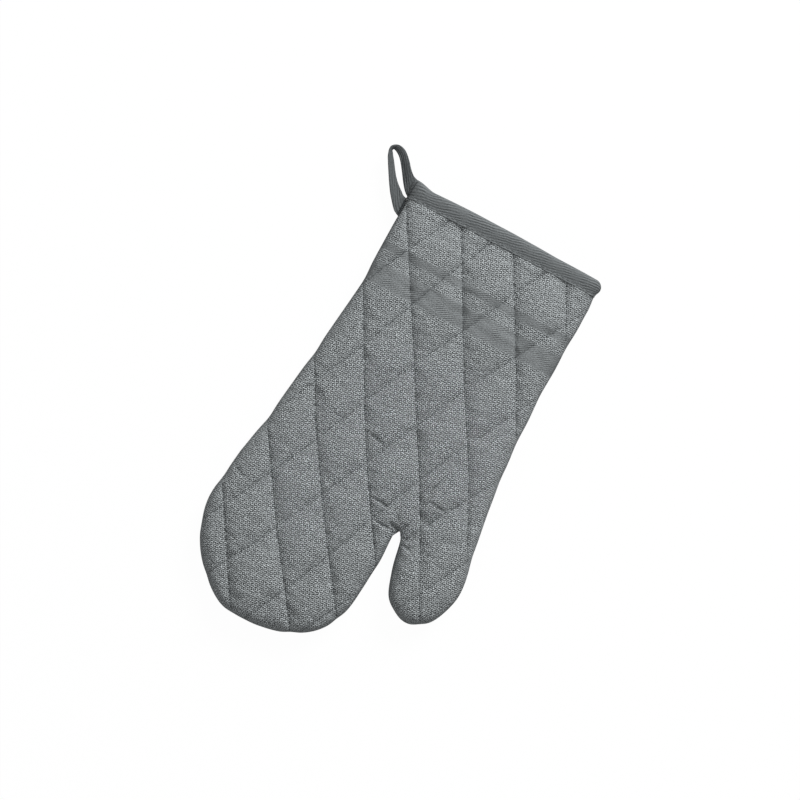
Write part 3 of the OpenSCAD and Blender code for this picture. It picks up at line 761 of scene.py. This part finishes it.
# ---- the lining: a bag inside the mitt, drawn out to the cloth along the quilting ----
LINING_IN = 4.2
bag = Net(3.4, (LINING_IN, 6.2), False)
in_bag = (bag.inset[bag.tris] > LINING_IN - 0.2).all(1)
bag_tris = bag.tris[in_bag]
rise = 1 - np.clip((bag.inset - LINING_IN) / 4.0, 0, 1)
puff = 0.9 * (1 - np.exp(-(np.minimum(bag.gap["a"], bag.gap["b"]) / 6.0) ** 2))
edges = np.sort(bag_tris[:, [0, 1, 1, 2, 2, 0]].reshape(-1, 2), axis=1)
pairs, count = np.unique(edges, axis=0, return_counts=True)
bag_rim = np.zeros(len(bag.points), bool)
bag_rim[pairs[count == 1].ravel()] = True
bag_rim &= bag.points[:, 1] < SHELL_TOP - 0.5
sheets = []
for face in (1, -1):
    h = panel_h(bag.points, bag.inset, face) - wall(bag.points[:, 1]) - puff
    h = np.maximum(h, 0.4) * np.sqrt(1 - rise * rise)
    h[bag_rim] = 0
    sheets.append(np.c_[bag.points, SEAM_Z + face * h])
bag_thumb = bag.in_thumb[in_bag]
for name, mask in (("mitt_lining", ~bag_thumb), ("thumb_lining", bag_thumb)):
    verts, faces = two_sided(sheets[0], sheets[1], bag_rim, bag_tris[mask])
    corners = np.concatenate([bag.points[bag_tris[mask]][:, ::-1], bag.points[bag_tris[mask]]])
    pieces[name] = mesh_object(name, verts, [f[::-1] for f in faces], corners.reshape(-1, 2))

# ---- the side seam's allowance, turned in between the panels ----
ALLOWANCE = ((1.3, 0.75), (4.0, 0.85), (4.0, -0.85), (1.3, -0.75))  # in and up from the seam
ALLOWANCE_RUN = (1.3, 4.0, 4.9, 7.6)


def seam_strip(line):
    """The allowance along one stretch of the seam."""
    rings = [np.array([[*(p + way * across), SEAM_Z + z] for across, z in ALLOWANCE])
             for p, way in zip(line, inward_of(line))]
    uv = np.concatenate([np.c_[np.full(4, gone), ALLOWANCE_RUN] for gone in gone_along(line)])
    return tube(rings, uv)


def joined(parts):
    """Several skins as one."""
    at = np.cumsum([0] + [len(v) for v, _, _ in parts])
    return (np.concatenate([v for v, _, _ in parts]),
            [[i + a for i in f] for (_, fs, _), a in zip(parts, at) for f in fs],
            np.concatenate([uv for _, _, uv in parts]))


def drawn(line):
    """The line drawn in as the seam is."""
    near = ((line[:, None] - shell.outline) ** 2).sum(2).argmin(1)
    return line + shell.moves[near]


mitt_edge = drawn(resample(left_part[left_part[:, 1] < BIND_Y - 2], 3.0)[:-2])
thumb_edge = drawn(resample(thumb_curve, 3.0)[2:-1])
right_edge = drawn(resample(right_part[right_part[:, 1] < BIND_Y - 2], 3.0)[1:])
pieces["mitt_seam"] = mesh_object("mitt_seam", *joined([seam_strip(mitt_edge), seam_strip(right_edge)]))
pieces["thumb_seam"] = mesh_object("thumb_seam", *seam_strip(thumb_edge))

# ---- stitches ----
front_tree = bvhtree.BVHTree.FromPolygons(front.tolist(), shell.tris.tolist())
back_tree = bvhtree.BVHTree.FromPolygons(back.tolist(), shell.tris.tolist())
STITCH_SIDES = 6
# A stitch's thickness along its length: place from end to end and share of its radius
STITCH_SHAPE = ((-1.0, 0.25), (-0.8, 0.8), (0.0, 1.0), (0.8, 0.8), (1.0, 0.25))


def stitch(a, b, up, radius):
    """A plump thread from a to b, its ends dipping into the cloth."""
    a, b, up = np.array(a, float), np.array(b, float), np.array(up, float)
    along = (b - a) / 2
    across = np.cross(along, up)
    across /= np.linalg.norm(across)
    half = np.linalg.norm(along)
    corner = np.arange(STITCH_SIDES)
    rings = []
    for s, r in STITCH_SHAPE:
        centre = (a + b) / 2 + along * s - up * radius * 0.9 * abs(s) ** 3
        rings.append(np.array([centre + radius * r * (across * math.cos(t) + up * math.sin(t))
                               for t in corner * 2 * math.pi / STITCH_SIDES]))
    uv = np.concatenate([np.c_[np.full(STITCH_SIDES, s * half), corner * 0.3] for s, _ in STITCH_SHAPE])
    return tube(rings, uv)


RAY_FROM = 60.0  # rays start this high, or as far below
STITCH_STEP = 2.65
STITCH = {"a": (1.8, 0.31), "b": (1.5, 0.27)}  # length and radius


def quilting(face):
    """Stitches along every quilting line of one panel, for the mitt and for the thumb."""
    tree = front_tree if face > 0 else back_tree
    out = {"mitt": [], "thumb": []}
    heights = np.linspace(SHELL_TOP - 2, -FINGER_LEN, 90)
    for name in "ab":
        long, radius = STITCH[name]
        for number in LINES:
            line = resample(quilt_line(name, number, heights), STITCH_STEP)
            steps = np.gradient(line, axis=0)
            steps /= np.linalg.norm(steps, axis=1)[:, None]
            shown = inside(line, seam_ring) & (seg_dist(line, seam_line) > 2.2)
            shown &= line[:, 1] < BIND_Y - 1.5
            for p, step in zip(line[shown], steps[shown]):
                ends = []
                for q in (p - step * long / 2, p + step * long / 2):
                    above = Vector((q[0], q[1], RAY_FROM * face))
                    hit, normal, _, _ = tree.ray_cast(above, Vector((0, 0, -face)))
                    if hit is None:
                        break
                    ends.append((np.array(hit), np.array(normal)))
                if len(ends) < 2:
                    continue
                up = ends[0][1] + ends[1][1]
                up *= face / np.linalg.norm(up) * (1 if up[2] > 0 else -1)
                lift = up * radius * 0.45
                part = stitch(ends[0][0] + lift, ends[1][0] + lift, up, radius)
                out["thumb" if past_fold(p) else "mitt"].append(part)
    return out


seam_ring = np.concatenate([left_part, thumb_curve[1:], right_part[1:]])
for label, face in (("front", 1), ("back", -1)):
    for part, stitches in quilting(face).items():
        name = f"{label}_quilting_{part}"
        pieces[name] = mesh_object(name, *joined(stitches))

# ---- the cuff's binding: a ribbed tape folded round the mouth ----
MOUTH_COUNT = 110
turn = np.pi * (np.arange(MOUTH_COUNT) + 0.5) / MOUTH_COUNT


def mouth_section():
    """The mouth's outside all the way round, x and z, front from left to right first."""
    x = -CUFF_W / 2 * np.cos(turn)
    q = np.c_[x, np.full(MOUTH_COUNT, PALM_LEN)]
    gap = CUFF_W / 2 - np.abs(x)
    top = np.c_[x, SEAM_Z + panel_h(q, gap, 1)]
    low = np.c_[x, SEAM_Z - panel_h(q, gap, -1)]
    ends = np.array([[CUFF_W / 2, SEAM_Z], [-CUFF_W / 2, SEAM_Z]])
    return np.concatenate([top, ends[:1], low[::-1], ends[1:]])


section = mouth_section()
section = resample(np.concatenate([section, section[:1]]), 1.6)[:-1]
ahead = np.roll(section, -1, axis=0) - np.roll(section, 1, axis=0)
ahead /= np.linalg.norm(ahead, axis=1)[:, None]
outward = np.stack([-ahead[:, 1], ahead[:, 0]], 1)
round_mouth = gone_along(section)
INNER = -(CUFF_WALL_T + 0.1)
# The folded tape's outline: distance out from the cloth, and plan y
TAPE = [(0.05, 209.7), (0.20, 209.3), (0.44, 209.2), (0.60, 209.45), (0.58, 209.9), (0.20, 210.8),
        (0.38, 211.5), (0.78, 212.6), (1.20, 214.0), (1.66, 215.6), (1.95, 217.6), (2.00, 219.0),
        (1.75, 220.3), (1.10, 221.1), (0.10, 221.5), (-1.6, 221.6), (-3.2, 221.5), (-4.2, 220.8),
        (-4.5, 219.4), (-4.4, 216.0), (-4.15, 212.4), (-4.0, 210.4), (-3.7, 209.7), (-3.3, 209.8),
        (INNER, 210.6), (INNER, 215.5), (INNER, 219.6), (-2.9, 220.3), (-0.4, 220.4), (0.04, 219.6),
        (0.06, 215.0)]
tape_out, tape_y = np.array(TAPE).T
tape_run = np.r_[0, np.cumsum(np.hypot(np.diff(tape_out), np.diff(tape_y)))]


def flatter(k):
    """The tape is pressed flat where the mitt rests on it."""
    return 1 - 0.68 * max(0.0, -outward[k][1])


def waver(k):
    """The tape's edge wavers a little along the mouth, as it was sewn by hand."""
    return 0.22 * noise.noise(Vector((section[k][0] * 0.05, section[k][1] * 0.05, 3.0)))


def tape_point(k, out, y):
    """A point of the tape over station k of the mouth.

    Towards its outer edge the tape is drawn up beside the loop, sags along the middle and is
    rounded off at the far corner.
    """
    flat = flatter(k) if out > 0 else 1.0
    p = section[k] + outward[k] * out * flat
    share = np.clip((y - BIND_Y) / BINDING_W, 0, 1)
    left = ease((-57.0 - p[0]) / 16.0)
    sag = min(1.0, abs(p[0] + 12.0) / 48.0) ** 2
    turned = np.clip((p[0] - 69.0) / 6.6, 0, 0.98)
    drop = 5.6 * (1 - math.sqrt(1 - turned ** 2)) * share
    fine = noise.noise(Vector((section[k][0] * 0.22, section[k][1] * 0.22, y * 0.2)))
    if out > 0.3 or out < -3.5:
        p = p + outward[k] * 0.16 * fine * flat
    y = y + (2.9 * left - 0.95 * sag) * share - drop
    return [p[0], y + waver(k) * (1 - 0.4 * share), p[1]]


n, m = len(section), len(TAPE)
tape_verts = np.array([tape_point(k, o, y) for k in range(n) for o, y in zip(tape_out, tape_y)])
tape_faces = [((k + 1) % n * m + j, (k + 1) % n * m + (j + 1) % m, k * m + (j + 1) % m, k * m + j)
              for k in range(n) for j in range(m)]
uv = np.concatenate([np.c_[np.full(m, round_mouth[k]), tape_run] for k in range(n)])
pieces["cuff_binding"] = mesh_object("cuff_binding", tape_verts, tape_faces, uv)

# The stitching that holds the binding, along its lower edge
BINDING_STITCH = 2.9
BINDING_STEP = 3.9
parts = []
at = 0.0
while at < round_mouth[-1] - 4:
    ends = []
    for gone in (at, at + BINDING_STITCH):
        k = int(np.argmin(np.abs(round_mouth - gone)))
        out = 0.46 * flatter(k)
        x, z = (np.interp(gone, round_mouth, section[:, i] + outward[:, i] * out) for i in (0, 1))
        ends.append(np.array([x, BIND_Y + 1.85 + waver(k), z]))
    up = np.array([outward[k][0], 0, outward[k][1]])
    parts.append(stitch(ends[0], ends[1], up, 0.36))
    at += BINDING_STEP
pieces["binding_stitch"] = mesh_object("binding_stitch", *joined(parts))

# ---- the hanging loop: the tape's folded end, flat at its feet and turned on edge at the tip ----
# Centre x and y, half its width as seen from above, and how far it is turned on edge, in degrees
LOOP = [
    ((-72.4, 216.6), (0.4, 6.9), 6), ((-76.4, 218.7), (0.3, 6.1), 14),
    ((-80.6, 223.1), (0.6, 5.0), 24), ((-85.4, 229.4), (1.3, 3.4), 30),
    ((-90.7, 234.9), (0.9, 2.9), 28), ((-96.1, 237.0), (0.4, 2.0), 38),
    ((-99.0, 234.9), (-0.9, 0.8), 62), ((-97.8, 230.7), (-1.2, -1.0), 58),
    ((-94.9, 226.1), (-1.3, -1.9), 35), ((-91.5, 220.8), (-1.2, -2.6), 22),
    ((-87.9, 215.5), (-1.1, -3.3), 16), ((-84.2, 210.9), (-1.1, -4.1), 12),
    ((-80.3, 206.9), (-0.9, -5.2), 8), ((-76.8, 203.6), (-0.3, -6.2), 5),
    ((-73.0, 202.0), (0.2, -6.8), 3)]
LOOP_T = 0.85  # half the folded tape's thickness
path = curve([(*c, *d, turned) for c, d, turned in LOOP], 6)
# Places across the tape's half width, closer together at its edges and at its groove
SECTION_W = [-1, -0.97, -0.86, -0.68, -0.5, -0.38, -0.26, -0.1, 0.2, 0.5, 0.75, 0.9, 0.98]
rings = []
for cx, cy, dx, dy, turned in path:
    half = np.array([dx, dy, math.hypot(dx, dy) * math.tan(math.radians(turned))])
    up = np.cross(half, np.cross([0, 0, 1.0], half))
    up /= np.linalg.norm(up)
    centre = np.array([cx, cy, SEAM_Z])
    ring = []
    for s in (1, -1):
        for w in (SECTION_W if s > 0 else [-v for v in SECTION_W]):
            t = LOOP_T * math.sqrt(max(0, 1 - abs(w) ** 3.2))
            t -= 0.34 * math.exp(-((w + 0.40) / 0.13) ** 2)
            t += 0.12 * math.exp(-((w + 0.70) / 0.2) ** 2)
            ring.append(centre + half * w + up * s * t)
    rings.append(np.array(ring))
across = np.r_[SECTION_W, [2 - v for v in SECTION_W]] * 4.0
uv = np.concatenate([np.c_[np.full(len(across), gone), across] for gone in gone_along(path[:, :2])])
pieces["hanging_loop"] = mesh_object("hanging_loop", *tube(rings, uv))

# The tack: close stitches over the loop's two feet, along the cuff's edge
TACK_STEP = 1.05
TACK_R = 0.42
tape_tree = bvhtree.BVHTree.FromPolygons(tape_verts.tolist(), tape_faces)


def on_tape(x, y, face):
    """The point of the binding over a plan point, seen from the front or from the back."""
    hit = tape_tree.ray_cast(Vector((x, y, RAY_FROM * face)), Vector((0, 0, -face)))[0]
    return None if hit is None else np.array(hit)


parts = []
for face in (1, -1):
    for y in np.arange(196.2, 208.6, TACK_STEP):
        foot = np.array([-74.3, y - 0.3, SEAM_Z + face * (LOOP_T + 0.1)])
        edge = np.array([-73.1, y + 0.3, SEAM_Z + face * 3.3])
        parts.append(stitch(foot, edge, (-0.86, 0, 0.5 * face), TACK_R))
    for y in np.arange(209.3, 223.4, TACK_STEP):
        middle = -73.4 + 0.10 * (y - 209.0)
        ends = [on_tape(middle - 0.65, y - 0.3, face), on_tape(middle + 0.65, y + 0.3, face)]
        if ends[0] is None:
            ends[0] = np.array([middle - 0.65, y - 0.3, SEAM_Z + face * (LOOP_T + 0.6)])
        if ends[1] is not None:
            parts.append(stitch(ends[0], ends[1], (-0.6, 0, 0.8 * face), TACK_R))
pieces["loop_tack"] = mesh_object("loop_tack", *joined(parts))

# ---- camera, light and floor ----
VIEW_TURN = math.radians(28)
VIEW_W = 552.0  # the width seen, in mm, at the height VIEW_Z
VIEW_AT = (-4.9, 15.6)
VIEW_DIST = 2.4
VIEW_Z = 0.018
SENSOR_W = 36
cam = add_object("camera", bpy.data.cameras.new("camera"))
cam.location = (VIEW_AT[0] * MM, VIEW_AT[1] * MM, VIEW_DIST)
cam.rotation_euler = (0, 0, VIEW_TURN)
cam.data.sensor_width = SENSOR_W
cam.data.lens = SENSOR_W * (VIEW_DIST - VIEW_Z) / (VIEW_W * MM)
bpy.context.scene.camera = cam
bpy.context.scene.view_settings.view_transform = "Standard"


def lamp(name, turned, height, distance, size, power):
    """A soft round lamp, turned from the picture's right and risen by these degrees."""
    data = bpy.data.lights.new(name, "AREA")
    data.shape = "DISK"
    data.size = size
    data.energy = power
    obj = add_object(name, data)
    a, e = math.radians(turned) + VIEW_TURN, math.radians(height)
    way = Vector((math.cos(a) * math.cos(e), math.sin(a) * math.cos(e), math.sin(e)))
    obj.location = way * distance
    obj.rotation_euler = way.to_track_quat("Z", "Y").to_euler()


lamp("key", 53, 36, 3.0, 1.5, 92.0)
lamp("fill", 225, 62, 1.8, 1.6, 1.5)


class Nodes:
    """A node tree being built: call it with a node type, settings and inputs."""

    def __init__(self, tree):
        self.tree = tree
        tree.nodes.clear()

    def __call__(self, kind, inputs=None, **settings):
        node = self.tree.nodes.new("ShaderNode" + kind)
        for key, value in settings.items():
            setattr(node, key, value)
        for key, value in (inputs or {}).items():
            self.put(node.inputs[key], value)
        return node

    def put(self, socket, value):
        """Links the value to the socket, or sets it there."""
        if hasattr(value, "is_output"):
            self.tree.links.new(value, socket)
        else:
            socket.default_value = value

    def math(self, operation, *values):
        node = self("Math", operation=operation)
        for socket, value in zip(node.inputs, values):
            self.put(socket, value)
        return node.outputs[0]

    def add(self, a, b):
        return self.math("ADD", a, b)

    def times(self, a, b):
        return self.math("MULTIPLY", a, b)

    def wave(self, value, turns=1.0):
        """A sine that comes round once for each whole number."""
        return self.math("SINE", self.times(value, 2 * math.pi * turns))

    def step(self, value, a, b, c=0.0, d=1.0):
        """The value taken from a..b to c..d, eased at both ends."""
        node = self("MapRange", {"Value": value, "From Min": a, "From Max": b, "To Min": c, "To Max": d},
                    interpolation_type="SMOOTHSTEP")
        return node.outputs[0]

    def dot(self, vector, way):
        node = self("VectorMath", operation="DOT_PRODUCT")
        self.put(node.inputs[0], vector)
        node.inputs[1].default_value = way
        return node.outputs["Value"]

    def noise(self, vector, scale, detail=2.0, rough=0.5):
        node = self("TexNoise", {"Vector": vector, "Scale": scale, "Detail": detail, "Roughness": rough})
        return node.outputs["Fac"]


world = bpy.data.worlds.new("studio")
bpy.context.scene.world = world
world.use_nodes = True
make = Nodes(world.node_tree)
camera_ray = make("LightPath").outputs["Is Camera Ray"]
soft = make("Background", {"Color": (1, 1, 1, 1), "Strength": 0.44})
white = make("Background", {"Color": (1, 1, 1, 1), "Strength": 1.0})
mix = make("MixShader", {0: camera_ray, 1: soft.outputs[0], 2: white.outputs[0]})
make("OutputWorld", {"Surface": mix.outputs[0]})

# The floor is white to the camera and a grey card to the light
mesh = bpy.data.meshes.new("floor")
mesh.from_pydata([(-3, -3, 0), (3, -3, 0), (3, 3, 0), (-3, 3, 0)], [], [(0, 1, 2, 3)])
floor = add_object("floor", mesh)
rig.stage(floor)
mat = bpy.data.materials.new("floor")
mat.use_nodes = True
make = Nodes(mat.node_tree)
share = make.times(make("LightPath").outputs["Is Camera Ray"], 0.92)
diffuse = make("BsdfDiffuse", {"Color": (0.30, 0.30, 0.30, 1)})
glow = make("Emission", {"Color": (1.06, 1.06, 1.06, 1)})
mix = make("MixShader", {0: share, 1: diffuse.outputs[0], 2: glow.outputs[0]})
make("OutputMaterial", {"Surface": mix.outputs[0]})
floor.data.materials.append(mat)

# ---- cloth, tape and thread: periods in mm, cloth coordinates in metres ----
PER_MM = 1000.0


def cloth_material(name, colour, roughness, bump):
    """A node maker for a new material, and the function that finishes it: from a brightness of
    the colour and a height."""
    mat = bpy.data.materials.new(name)
    mat.use_nodes = True
    make = Nodes(mat.node_tree)
    shader = make("BsdfPrincipled", {"Roughness": roughness, "Specular IOR Level": 0.25})
    make("OutputMaterial", {"Surface": shader.outputs[0]})

    def finish(brightness, height):
        tint = make("VectorMath", operation="SCALE")
        tint.inputs[0].default_value = colour
        make.put(tint.inputs["Scale"], brightness)
        make.put(shader.inputs["Base Color"], tint.outputs[0])
        dent = make("Bump", {"Height": height, "Distance": bump, "Strength": 1.0})
        make.put(shader.inputs["Normal"], dent.outputs[0])
        return mat

    return make, finish


def woven_uv(make, period, lean_a, lean_b, wander):
    """The piece's cloth coordinates, and the same in threads: joined, across and along."""
    uv = make("UVMap", uv_map="cloth").outputs[0]
    drift = make("TexNoise", {"Vector": uv, "Scale": 90.0, "Detail": 2.0})
    shift = make("VectorMath", operation="MULTIPLY_ADD")
    make.put(shift.inputs[0], drift.outputs["Color"])
    shift.inputs[1].default_value = (wander, wander, 0)
    make.put(shift.inputs[2], uv)
    k = PER_MM / period
    a, b = math.radians(lean_a), math.radians(lean_b)
    u = make.dot(shift.outputs[0], (k * math.cos(a), k * math.sin(a), 0))
    v = make.dot(shift.outputs[0], (k * math.sin(b), k * math.cos(b), 0))
    return uv, make("CombineXYZ", {"X": u, "Y": v}).outputs[0], u, v


def dotted_cloth():
    """The outer cloth: a canvas of light dots, with two plainer bands below the cuff."""
    make, finish = cloth_material("dotted_canvas", (0.277, 0.296, 0.302), 0.92, 0.0004)
    uv, woven, u, v = woven_uv(make, 1.88, -15, 12, 0.0009)
    cell = make("TexVoronoi", {"Vector": woven, "Scale": 1.0, "Randomness": 0.5}, voronoi_dimensions="2D")
    dots = make.step(cell.outputs["Distance"], 0.05, 0.42, 1.0, 0.0)
    each = make("SeparateColor", {"Color": cell.outputs["Color"]}).outputs[0]
    dots = make.times(dots, make.add(make.times(each, 0.5), 0.7))
    check = make.times(make.math("COSINE", make.times(u, 2 * math.pi)),
                       make.math("COSINE", make.times(v, 2 * math.pi)))
    # the threads themselves, finer than the dots: the weft stands out more, and light and dark
    # lengths of yarn come up at random
    crossing, warp, weft = woven_uv(make, 1.27, 0, 0, 0.0007)[1:]
    weft = make.times(make.wave(weft), 0.48)
    warp = make.times(make.wave(warp), 0.25)
    yarn = make("TexVoronoi", {"Vector": crossing, "Scale": 1.0, "Randomness": 0.6},
                voronoi_dimensions="2D")
    yarn = make("SeparateColor", {"Color": yarn.outputs["Color"]}).outputs[1]
    yarn = make.times(make.math("SUBTRACT", yarn, 0.5), 0.28)
    grain = make.math("SUBTRACT", make.noise(uv, 1500.0, 1.0, 0.8), 0.5)
    # the weave stands out more in some places than in others
    height = make("SeparateXYZ", {"Vector": uv}).outputs["Y"]
    relief = make.step(make.noise(uv, 110.0, 2.0), 0.34, 0.66, 0.75, 1.5)
    relief = make.times(relief, make.step(height, 0.095, 0.165, 1.16, 0.84))
    patch = make.noise(uv, 55.0, 3.0)
    # the two plainer bands under the cuff
    band = 0.0
    for middle, half in ((PALM_LEN - 47.9, 2.9), (PALM_LEN - 67.35, 7.65)):
        off = make.math("ABSOLUTE", make.math("SUBTRACT", height, middle * MM))
        band = make.add(band, make.step(off, (half - 1.0) * MM, (half + 1.0) * MM, 1.0, 0.0))
    rib = make.wave(woven_uv(make, 1.41, 0, -32, 0.0007)[3])
    rib = make.times(rib, make.step(make.noise(uv, 90.0, 1.0), 0.35, 0.65, 0.08, 0.30))
    # dots and grain in the canvas, ribs in the bands
    weave = make.add(make.times(dots, 1.18), make.times(check, 0.66))
    weave = make.add(weave, make.add(weft, warp))
    coarse = make.times(grain, make.step(height, 0.095, 0.165, 1.6, 1.0))
    canvas = make.add(make.times(weave, relief), make.add(coarse, 0.8))
    canvas = make.add(canvas, yarn)
    plain = make.add(rib, make.times(grain, 1.4))
    plain = make.add(plain, make.add(make.times(dots, 0.20), 0.62))
    mixed = make("Mix", {"Factor": band, "A": canvas, "B": plain}).outputs[0]
    bright = make.add(make.add(mixed, -0.10), make.times(patch, 0.24))
    return finish(make.math("MAXIMUM", bright, 0.12), mixed)


def ribbed_tape(name, colour):
    """The tape of the binding and the loop, with slanting ribs."""
    make, finish = cloth_material(name, colour, 0.9, 0.0003)
    uv, _, u, v = woven_uv(make, 1.85, 0, -13, 0.0030)
    rib = make.wave(v)
    fine = make.wave(u, 2.4)
    grain = make.noise(uv, 900.0, 2.0, 0.65)
    patch = make.noise(uv, 70.0, 3.0)
    strong = make.step(make.noise(uv, 160.0, 1.0), 0.35, 0.65, 0.12, 0.42)
    h = make.add(make.times(rib, strong), make.times(fine, 0.05))
    h = make.add(h, make.times(grain, 1.15))
    bright = make.add(make.add(h, 0.30), make.times(patch, 0.26))
    return finish(bright, h)


def plain_cloth():
    """The lining: a light plain weave."""
    make, finish = cloth_material("lining_cotton", (0.50, 0.51, 0.50), 0.9, 0.00015)
    uv, _, u, v = woven_uv(make, 0.8, 0, 0, 0.0003)
    over = make.times(make.wave(u), make.wave(v))
    grain = make.noise(uv, 700.0, 2.0, 0.6)
    patch = make.noise(uv, 45.0, 3.0)
    h = make.add(make.times(over, 0.12), make.times(grain, 0.3))
    bright = make.add(make.add(h, 0.75), make.times(patch, 0.2))
    return finish(bright, h)


def twisted_thread(name, colour):
    """Sewing thread, its plies slanting round it."""
    make, finish = cloth_material(name, colour, 0.7, 0.0001)
    uv, _, u, _ = woven_uv(make, 0.9, 35, -35, 0.0)
    ply = make.wave(u)
    grain = make.noise(uv, 1500.0, 1.0)
    h = make.add(make.times(ply, 0.18), make.times(grain, 0.3))
    return finish(make.add(h, 0.85), h)


canvas, cotton = dotted_cloth(), plain_cloth()
tape = ribbed_tape("ribbed_tape", (0.149, 0.160, 0.164))
loop_tape = ribbed_tape("ribbed_loop_tape", (0.094, 0.102, 0.105))
thread = twisted_thread("quilting_thread", (0.078, 0.086, 0.090))
dark_thread = twisted_thread("tack_thread", (0.052, 0.058, 0.062))
edge_thread = twisted_thread("binding_thread", (0.138, 0.148, 0.152))

# ---- finish, stand-ins and bodies ----
LOOKS = {
    "mitt_outer": (canvas, "outer_cloth"), "thumb_outer": (canvas, "outer_cloth"),
    "mitt_lining": (cotton, "lining"), "thumb_lining": (cotton, "lining"),
    "mitt_seam": (canvas, "outer_cloth"), "thumb_seam": (canvas, "outer_cloth"),
    "front_quilting_mitt": (thread, "thread"), "front_quilting_thumb": (thread, "thread"),
    "back_quilting_mitt": (thread, "thread"), "back_quilting_thumb": (thread, "thread"),
    "cuff_binding": (tape, "tape"), "binding_stitch": (edge_thread, "thread"),
    "hanging_loop": (loop_tape, "tape"), "loop_tack": (dark_thread, "thread")}
for name, (mat, slot) in LOOKS.items():
    pieces[name].name = name + "_cloth" if name in ("cuff_binding", "hanging_loop") else name + "_piece"
    pieces[name].data.materials.append(mat)
    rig.slot(pieces[name], slot)
FILLS = {"mitt_outer": 0.35, "thumb_outer": 0.35, "mitt_lining": 0.2, "thumb_lining": 0.2}
for name, fill in FILLS.items():
    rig.padded(pieces[name], fill=fill)

SIDES = ("front", "back")
for where, bodies in (("mitt", ("hand", "fingers")), ("thumb", ("thumb",))):
    skins = [f"{s}_{layer}_{b}" for s in SIDES for layer in ("outer", "wadding") for b in bodies]
    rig.replaces(pieces[where + "_outer"], *skins)
    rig.replaces(pieces[where + "_lining"], *[f"{s}_lining_{b}" for s in SIDES for b in bodies])
    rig.replaces(pieces[where + "_seam"], *[f"seam_{b}" for b in bodies])
    for s in SIDES:
        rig.replaces(pieces[f"{s}_quilting_{where}"], *[f"{s}_quilting_{b}" for b in bodies])
for name in ("cuff_binding", "binding_stitch", "hanging_loop", "loop_tack"):
    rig.replaces(pieces[name], name)

# The cloth bends over these lengths past the two fold lines
FINGER_BEND = 28
THUMB_BEND = 16
fold = np.r_[CROTCH, 0]
finger_start, finger_end = tuple(place((0, 0, 0))), tuple(place((0, -FINGER_BEND, 0)))
thumb_start, thumb_end = tuple(place(fold)), tuple(place(fold + np.r_[FOLD_OUT, 0] * THUMB_BEND))
for part in ("outer", "lining", "seam"):
    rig.blend(pieces["mitt_" + part], "hand", "fingers", start=finger_start, end=finger_end)
    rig.blend(pieces["thumb_" + part], "hand", "thumb", start=thumb_start, end=thumb_end)
for s in SIDES:
    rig.blend(pieces[s + "_quilting_mitt"], "hand", "fingers", start=finger_start, end=finger_end)
    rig.blend(pieces[s + "_quilting_thumb"], "hand", "thumb", start=thumb_start, end=thumb_end)
for name in ("cuff_binding", "binding_stitch", "loop_tack"):
    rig.ride(pieces[name], "hand")
loop_start, loop_end = tuple(place((-74.2, 209, 9))), tuple(place((-78.4, 209, 9)))
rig.blend(pieces["hanging_loop"], "hand", "loop", start=loop_start, end=loop_end)

with open("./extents.json", "w") as f:
    json.dump({"cad": [list(v) for v in cad_box], "visual": [list(v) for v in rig.bounds()]}, f)
